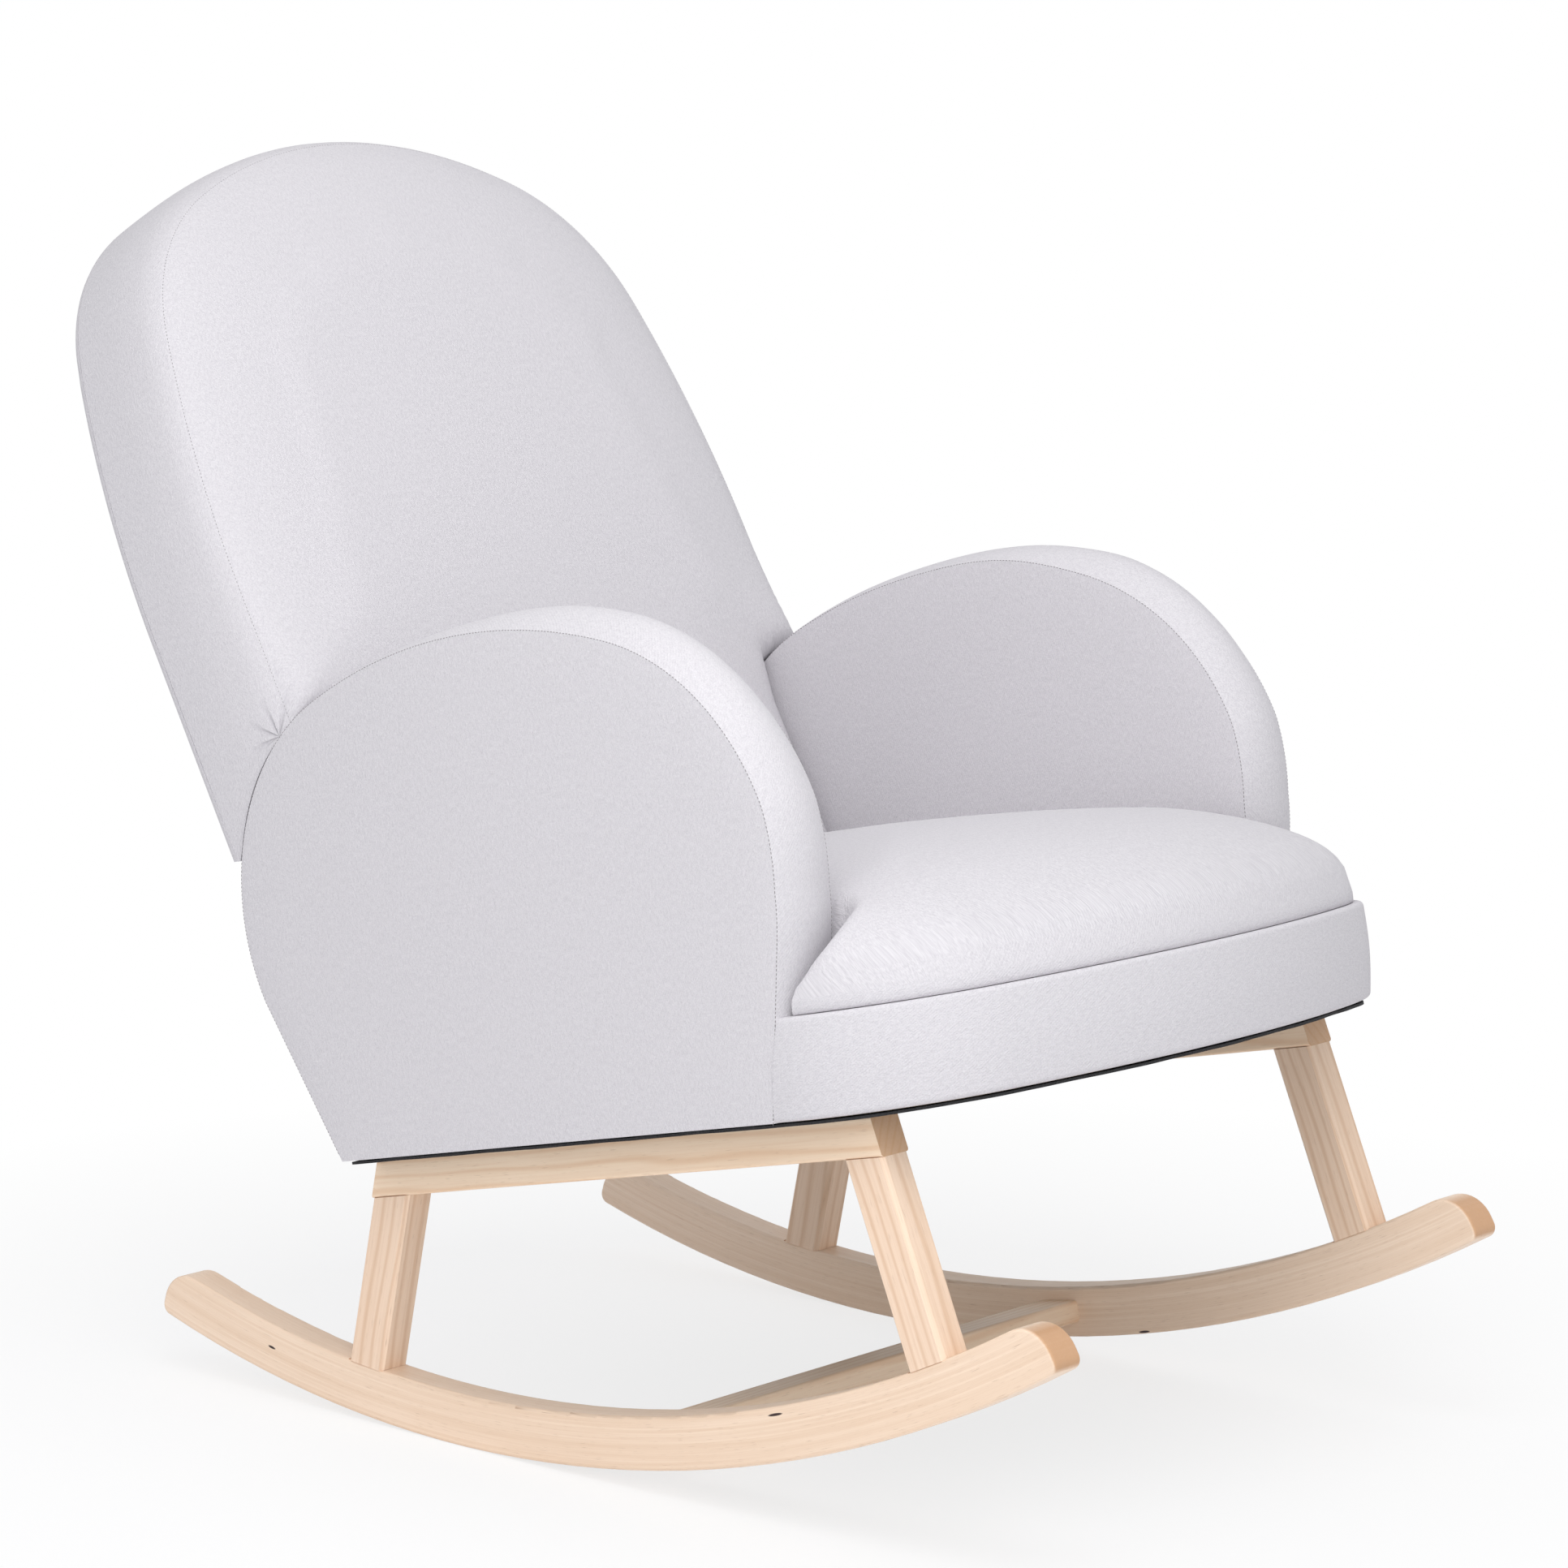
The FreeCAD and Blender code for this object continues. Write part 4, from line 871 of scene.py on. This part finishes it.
def back_pad():
    rows = []
    for q in spread(BACK_EDGE, BACK_DEPTH, SEAM_EASE, 0.006):
        rows.append((q, back_outline(q, band_bulge(q), BACK_PAD_FOOT)[0]))
    neck_top = arm_top(BACK_NECK, 0.0)

    def place(point, q):
        x, v = point
        beside = math.exp(-max(BACK_NECK - abs(x), 0) / CREASE_WIDTH)
        pressed = np.clip((neck_top - v) / CREASE_RUN, 0, 1) * beside * math.exp(-max(q, 0) / CREASE_FADE)
        return recline(x, q + CREASE_DEPTH * pressed, v)

    free = back_outline(0.0, 0.0, BACK_PAD_FOOT)[1]
    outline = np.array(rows[0][1])
    arms = [np.array([outline[k] for k in range(free[0] + 1)])]
    arms.append(arms[0] * (-1, 1))

    def swell(points, rim):
        away = np.minimum(line_distance(points, arms[0]), line_distance(points, arms[1]))
        squeezed = np.exp(-(away / SQUEEZE_REACH) ** 2)
        rise = domed(rim / BACK_FACE_EASE) * (1 - squeezed) + eased(rim / SQUEEZE_EASE) * squeezed
        return BACK_FACE_CROWN * rise + BACK_EDGE * domed(rim / BACK_EDGE_EASE)

    pad = Pad("back_cover", rows, place, swell, level, (COVER_PITCH, 0.03))
    inner = [k for k in range(pad.count * pad.rows) if k % pad.count not in free]
    held = sorted({*pad.seam(0), *pad.seam(pad.rows - 1), *inner})
    fill_out(pad.piece, held, STUFFING, BACK_SWELL)
    sink(pad.piece, [pad.seam(0)[k] for k in free], SEAM_SINK)
    soften(pad.piece, 40)
    # The back's cloth is pleated round the corners where it meets the arms, with painted shade in the
    # creases.
    pinch = recline(BACK_HALF, PINCH_DEPTH, arm_top(BACK_HALF, PINCH_DEPTH))
    pad.piece.data.materials[0] = cloth_finish("back_cloth", pinch)
    stitch("back_stitches", pad.piece, [[pad.seam(0)[k] for k in free]], -0.0002)
    return pad.piece


finish_pad(back_pad(), 0.8, "back_pad")


# Outside back: one lightly padded panel of the same cloth, drawn over the board behind the back.
# Its rounded edge carries on from the band that it is sewn to; its foot is stapled under the seat.

PANEL_FOOT = 0.224
PANEL_ROLL_DEPTH = 0.0088
PANEL_CROWN = 0.011
PANEL_EASE = 0.055
SEWN_GAP = 0.0005


def outside_back():
    rows = []
    for share in (0.0, 0.25, 0.5, 0.7, 0.85, 0.95, 1.0):
        depth = BACK_DEPTH + SEWN_GAP + share * PANEL_ROLL_DEPTH
        roll = BACK_BAND_CROWN * math.sqrt(1 - share ** 2)
        rows.append((depth, back_outline(depth, roll, PANEL_FOOT)[0]))

    def place(point, q):
        return recline(point[0], q, point[1])

    def swell(points, rim):
        return (PANEL_CROWN - PANEL_ROLL_DEPTH) * eased(rim / PANEL_EASE)

    pad = Pad("outside_back", rows, place, level, swell)
    soften(pad.piece, 40)
    return pad.piece


finish_pad(outside_back(), 0.5, "back_panel")


# Border: a padded band of the same cloth round the bowed front of the seat, over the curved rail.
# Its ends are sewn to the arms, its foot is turned under and stapled, its top is hidden by the cushion.

SEAT_FRONT = -0.585
FRONT_R = 0.600
CORNER_R = 0.141
BORDER_LEAN = math.radians(5.3)
BORDER_TOP = 0.294
BORDER_PUFF = 0.0018
BORDER_THICK = 0.011
BORDER_EDGE = 0.004


def bow_line(inset, shift, end):
    """Points of the bowed plan from the left end round the front to the right end."""
    half = ARM_OUT - inset
    front, front_r, corner_r = SEAT_FRONT + inset + shift, FRONT_R - inset, CORNER_R - inset
    start = front + front_r - math.sqrt((front_r - corner_r) ** 2 - (half - corner_r) ** 2)
    centre = half - corner_r
    turn = math.atan2(centre, front + front_r - start)
    points = [(half, end)] if end > start else []
    first = math.pi / 2 if end > start else math.acos((start - end) / corner_r)
    for angle in np.linspace(first, turn, 60):
        points.append((centre + corner_r * math.sin(angle), start - corner_r * math.cos(angle)))
    for angle in np.linspace(turn, 0, 120)[1:]:
        points.append((front_r * math.sin(angle), front + front_r - front_r * math.cos(angle)))
    return points + [(-x, s) for x, s in reversed(points[:-1])]


def evenly(points, count):
    """The same line in a set number of even steps."""
    line = np.array(points)
    reach = np.concatenate([[0], np.cumsum(np.linalg.norm(np.diff(line, axis=0), axis=1))])
    places = np.linspace(0, reach[-1], count)
    return np.stack([np.interp(places, reach, line[:, 0]), np.interp(places, reach, line[:, 1])], 1), places


def arm_front(t):
    return ARM_FOOT - (t - COVER_BOTTOM) * math.tan(ARM_FRONT_LEAN)


def border_section():
    """Heights and insets round the band's section, from its inner foot out, up and back in."""
    rise = BORDER_TOP - COVER_BOTTOM
    section = [(0.0, BORDER_THICK)]
    for k in range(6):
        angle = math.pi / 2 * k / 5
        section.append((BORDER_EDGE * (1 - math.cos(angle)), BORDER_EDGE * (1 - math.sin(angle))))
    for k in range(1, 12):
        lift = BORDER_EDGE + (rise - 2 * BORDER_EDGE) * k / 12
        section.append((lift, -BORDER_PUFF * math.sin(math.pi * k / 12)))
    section += [(rise - lift, inset) for lift, inset in reversed(section[1:7])]
    return section + [(rise, BORDER_THICK)]


def front_border():
    section = border_section()
    count = 150
    vertices, reach = [], None
    for lift, inset in section:
        t = COVER_BOTTOM + lift
        line = bow_line(inset, -lift * math.tan(BORDER_LEAN), arm_front(t) - SEWN_GAP)
        spots, reach = evenly(line, count)
        vertices += [stand(x, s, t) for x, s in spots]
    ring = len(section)
    faces, maps = [], []
    for row in range(ring):
        after = (row + 1) % ring
        for k in range(count - 1):
            faces.append([row * count + k, row * count + k + 1, after * count + k + 1, after * count + k])
            low, high = section[row][0], section[after][0]
            maps.append([(low, reach[k]), (low, reach[k + 1]), (high, reach[k + 1]), (high, reach[k])])
    for end in (0, count - 1):
        faces.append([row * count + end for row in range(ring)])
        maps.append([(lift, inset) for lift, inset in section])
    piece = sewn_piece("front_border", vertices, faces, maps)
    soften(piece, 40)
    return piece


border = front_border()
finish_pad(border, 0.6, "seat_front_border")


# Deck: a felted cloth pad over the straps, under the loose cushion, sewn to the border all round.
# It shows only when the cushion is drawn out.

DECK_LOW = 0.2895
DECK_TOP = 0.294
DECK_BACK = -0.002
DECK_INSET = 0.0125
DECK_SWELL = 0.0003
DECK_EASE = 0.05
COARSE_PITCH = 0.012
FELT_PALE = (0.60, 0.58, 0.55, 1.0)
FELT_SHADE = (0.46, 0.44, 0.42, 1.0)


def felt_finish():
    finish = Finish("deck_felt")
    x, y, z = finish.split(finish.position())
    fibres = finish.noise(finish.join(x * 700.0, y * 700.0, z * 700.0), 3.0)
    clumps = finish.noise(finish.join(x * 90.0, y * 90.0, z * 90.0), 2.0)
    shade = fibres * 0.6 + clumps * 0.4
    finish.set(Base_Color=finish.blend(shade.between(0.3, 0.7), FELT_PALE, FELT_SHADE), Roughness=0.95)
    finish.bump(shade, 0.0012, 0.5)
    return finish.material


def deck_outline():
    front = bow_line(DECK_INSET, 0.0, arm_front(DECK_TOP) - SEWN_GAP)
    neck = ARM_IN - SEWN_GAP
    end = arm_front(DECK_TOP) - SEWN_GAP
    corners = front + [(-neck, end), (-neck, DECK_BACK), (neck, DECK_BACK), (neck, end)]
    closed, _ = evenly(corners + corners[:1], 360)
    return [Vector(p) for p in closed[:-1]]


def lay(point, t):
    """Place a point of the seat's plan at a height over the base of the seat."""
    return stand(point[0], point[1], t)


def deck_cover():
    outline = deck_outline()

    def swell(points, rim):
        return DECK_SWELL * eased(rim / DECK_EASE)

    rows = [(DECK_LOW, outline), (DECK_TOP - SEWN_GAP, outline)]
    pad = Pad("deck_cover", rows, lay, level, swell, (COARSE_PITCH, COARSE_PITCH))
    pad.piece.data.materials[0] = felt_finish()
    soften(pad.piece, 40)
    return pad.piece


deck = deck_cover()
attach(deck, "chair")
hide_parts("deck_pad")


# Dust cover: black non-woven cloth stapled under the seat frame and clamped by the side rails.
# Its cut edge hangs a little below the border and is slightly ragged.

DUST_LOW = 0.2185
DUST_HIGH = 0.2205
DUST_INSET = 0.006
DUST_BACK = 0.030
RAGGED = 0.0025
BLACK_CLOTH = (0.012, 0.012, 0.014, 1.0)
BLACK_FUZZ = (0.035, 0.035, 0.038, 1.0)


def dust_finish():
    finish = Finish("black_non_woven")
    x, y, z = finish.split(finish.position())
    fibres = finish.noise(finish.join(x * 900.0, y * 900.0, z * 900.0), 3.0)
    dots = (x * (2 * math.pi / 0.004)).math("SINE") * (y * (2 * math.pi / 0.004)).math("SINE")
    finish.set(Base_Color=finish.blend(fibres.between(0.35, 0.7), BLACK_CLOTH, BLACK_FUZZ), Roughness=0.85)
    finish.bump(dots * 0.5 + fibres, 0.0003, 0.4)
    return finish.material


def dust_sheet():
    front = bow_line(DUST_INSET, 0.0, ARM_FOOT)
    half = ARM_OUT - DUST_INSET
    closed, reach = evenly(front + [(-half, DUST_BACK), (half, DUST_BACK), front[0]], 420)
    outline = []
    for (x, s), along in zip(closed[:-1], reach):
        wave = math.sin(along * 61.0) + 0.7 * math.sin(along * 23.0 + 1.0) + 0.4 * math.sin(along * 143.0)
        inward = Vector((-x, -0.25 - s)).normalized() * (RAGGED * wave / 2)
        outline.append(Vector((x, s)) + inward)

    rows = [(DUST_LOW, outline), (DUST_HIGH, outline)]
    sheet = Pad("dust_sheet", rows, lay, level, level, (COARSE_PITCH, COARSE_PITCH)).piece
    sheet.data.materials[0] = dust_finish()
    soften(sheet, 40)
    return sheet


dust = dust_sheet()
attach(dust, "chair")
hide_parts("dust_cover")


# Seat cushion: loose, filled with foam and wadding, one smooth crown that falls all round to its foot.
# Its two ears lie in front of the arms. It is one cover with a seam round its foot.

CUSHION_FOOT = 0.2945
CUSHION_EDGE = 0.0108
CUSHION_CROWN = 0.1165
CUSHION_RUN = 0.512
CUSHION_POWER = 2.33
CUSHION_RIM = 0.0045
CUSHION_TUCK = -0.004
CUSHION_SIDE = 0.2365
CUSHION_REAR = -0.078
CUSHION_ROUND = 0.022
EAR_GAP = 0.006
EAR_REACH = 0.06
EAR_EASE = 0.02
CUSHION_CORNER = 0.02
CUSHION_STUFFING = 3.0
CUSHION_SWELL = 0.003
RESTING = 0.002


def ear_rear(x):
    """Where an ear's foot meets the crowned front of the arm."""
    return arm_front(CUSHION_FOOT) - arm_rise(x, 0.0) - EAR_GAP


def cushion_plan():
    """The bowed front, then the edge held by the arms and the back, from the right ear to the left."""
    front = bow_line(CUSHION_RIM, CUSHION_TUCK, ear_rear(ARM_OUT - CUSHION_RIM))
    ear = [(-x, ear_rear(x)) for x in np.linspace(front[0][0], CUSHION_SIDE, 20)]
    half = ear + [(-CUSHION_SIDE, CUSHION_REAR - CUSHION_CORNER)]
    half.append((CUSHION_CORNER - CUSHION_SIDE, CUSHION_REAR))
    return front, half + [(-x, s) for x, s in reversed(half)]


def cushion_cover():
    front, held = cushion_plan()
    size = 2 * round(sum(math.dist(a, b) for a, b in zip(front + held, (front + held)[1:])) / COVER_PITCH / 2)
    outline = evenly(front + held[1:], size + 1)[0][:-1]
    rim_line = bow_line(CUSHION_RIM, CUSHION_TUCK, 0.2)

    def crown(points, rim):
        inward = np.minimum(line_distance(points, np.array(rim_line)) / CUSHION_RUN, 1)
        dome = 1 - (1 - inward) ** CUSHION_POWER
        edge = eased(line_distance(points, np.array(held)) / CUSHION_ROUND)
        return (CUSHION_CROWN - CUSHION_EDGE) * dome ** (1 / CUSHION_POWER) * edge

    def place(point, t):
        x, s = point
        rise = t - CUSHION_FOOT
        reach = np.clip((s - ear_rear(x) + EAR_REACH) / EAR_REACH, 0, 1) * (s < ear_rear(x) + 0.004)
        reach *= np.clip((abs(x) - CUSHION_SIDE + EAR_EASE) / EAR_EASE, 0, 1)
        return stand(x, s - rise * math.tan(ARM_FRONT_LEAN) * reach, t)

    wall = ((0.0, 0.0015), (0.0012, 0.0005), (0.0035, 0.0), (0.007, -0.0004), (CUSHION_EDGE, 0.0))
    rows = [(CUSHION_FOOT + rise, inset_line(outline, inset)) for rise, inset in wall]
    pad = Pad("cushion_cover", rows, place, level, crown, (COARSE_PITCH, COVER_PITCH))
    foot = stand(0, 0, CUSHION_FOOT)
    lying = [k for k, p in enumerate(points_of(pad.piece)) if level_up.dot(Vector(p) - foot) < RESTING]
    fill_out(pad.piece, lying, CUSHION_STUFFING, CUSHION_SWELL)
    soften(pad.piece, 50)
    return pad.piece


cushion = cushion_cover()
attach(cushion, "cushion")
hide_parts("seat_cushion")


# Studio: a pale floor that keeps the chair's soft shadow, white all round, and large soft lamps.
# The camera stands to the chair's right front, a little above the seat, with a long lens.

FLOOR_HALF = 30.0
FLOOR_CLEAR = 0.5
FLOOR_GONE = 1.1
FLOOR_WHITE = (0.94, 0.94, 0.95, 1.0)
FLOOR_WORN = (0.90, 0.90, 0.91, 1.0)
FLOOR_SHADE = 0.25
CAMERA_PLACE = (-2.9126, -2.6146, 1.0799)
CAMERA_YAW = 48.58
CAMERA_PITCH = 8.80
CAMERA_LENS = 118.95
SKY = 0.6
# Lamps: name, place, aim, width and power.
LAMPS = (("front", (-3.2, -2.85, 1.7), (0, 0, 0.5), 4.5, 52.0),
         ("left", (-3.2, -1.0, 4.2), (0, 0, 0.5), 4.0, 22.0),
         ("near", (-0.75, -0.8, 1.75), (0.1, -0.25, 0.55), 1.0, 8.5),
         ("top", (-0.6, -1.4, 5.2), (0, -0.1, 0.5), 4.5, 36.0))


def floor_finish():
    """Pale floor; to the camera most of it glows white, so only a soft shadow is left."""
    finish = Finish("studio_floor")
    x, y, z = finish.split(finish.position())
    worn = finish.noise(finish.join(x * 3.0, y * 3.0, 0.0), 2.0)
    finish.set(Base_Color=finish.blend(worn * 0.05, FLOOR_WHITE, FLOOR_WORN), Roughness=0.9)
    path = finish.tree.nodes.new("ShaderNodeLightPath")
    seen = Value(finish, path.outputs["Is Camera Ray"])
    mirrored = Value(finish, path.outputs["Is Glossy Ray"])
    glow = finish.add("ShaderNodeEmission", None, {"Color": (1, 1, 1, 1), "Strength": 1.0})
    shader = Value(finish, finish.shader.outputs[0])
    away = ((x ** 2.0 + y ** 2.0).math("SQRT")).between(FLOOR_CLEAR, FLOOR_GONE)
    share = (seen + mirrored).math("MINIMUM", 1.0) * (away * FLOOR_SHADE + (1 - FLOOR_SHADE))
    mixed = finish.add("ShaderNodeMixShader", None, {0: share, 1: shader, 2: glow})
    finish.feed(finish.tree.nodes["Material Output"].inputs["Surface"], mixed)
    return finish.material


def studio_floor():
    mesh = bpy.data.meshes.new("floor")
    corners = [(x * FLOOR_HALF, y * FLOOR_HALF, 0) for x, y in ((-1, -1), (1, -1), (1, 1), (-1, 1))]
    mesh.from_pydata(corners, [], [(0, 1, 2, 3)])
    mesh.materials.append(floor_finish())
    floor = bpy.data.objects.new("floor", mesh)
    bpy.context.scene.collection.objects.link(floor)


def lamp(name, place, aim, size, power):
    light = bpy.data.lights.new(name, "AREA")
    light.shape = "DISK"
    light.size = size
    light.energy = power
    holder = bpy.data.objects.new(name, light)
    holder.location = place
    holder.rotation_mode = "QUATERNION"
    holder.rotation_quaternion = (Vector(aim) - Vector(place)).to_track_quat("-Z", "Y")
    bpy.context.scene.collection.objects.link(holder)


def studio_world():
    world = bpy.data.worlds.new("studio")
    world.use_nodes = True
    tree = world.node_tree
    sky = tree.nodes["Background"]
    sky.inputs["Color"].default_value = (0.97, 0.98, 1.0, 1.0)
    sky.inputs["Strength"].default_value = SKY
    white = tree.nodes.new("ShaderNodeBackground")
    white.inputs["Color"].default_value = (1, 1, 1, 1)
    white.inputs["Strength"].default_value = 1.0
    path = tree.nodes.new("ShaderNodeLightPath")
    seen = tree.nodes.new("ShaderNodeMath")
    seen.operation = "MAXIMUM"
    tree.links.new(path.outputs["Is Camera Ray"], seen.inputs[0])
    tree.links.new(path.outputs["Is Glossy Ray"], seen.inputs[1])
    mix = tree.nodes.new("ShaderNodeMixShader")
    tree.links.new(seen.outputs[0], mix.inputs[0])
    tree.links.new(sky.outputs[0], mix.inputs[1])
    tree.links.new(white.outputs[0], mix.inputs[2])
    tree.links.new(mix.outputs[0], tree.nodes["World Output"].inputs["Surface"])
    bpy.context.scene.world = world


def photo_camera():
    lens = bpy.data.cameras.new("camera")
    lens.lens = CAMERA_LENS
    lens.sensor_width = 36.0
    camera = bpy.data.objects.new("camera", lens)
    camera.location = CAMERA_PLACE
    camera.rotation_euler = (math.radians(90 - CAMERA_PITCH), 0, math.radians(-CAMERA_YAW))
    bpy.context.scene.collection.objects.link(camera)
    bpy.context.scene.camera = camera


studio_floor()
studio_world()
for values in LAMPS:
    lamp(*values)
photo_camera()
bpy.context.scene.view_settings.view_transform = "Standard"
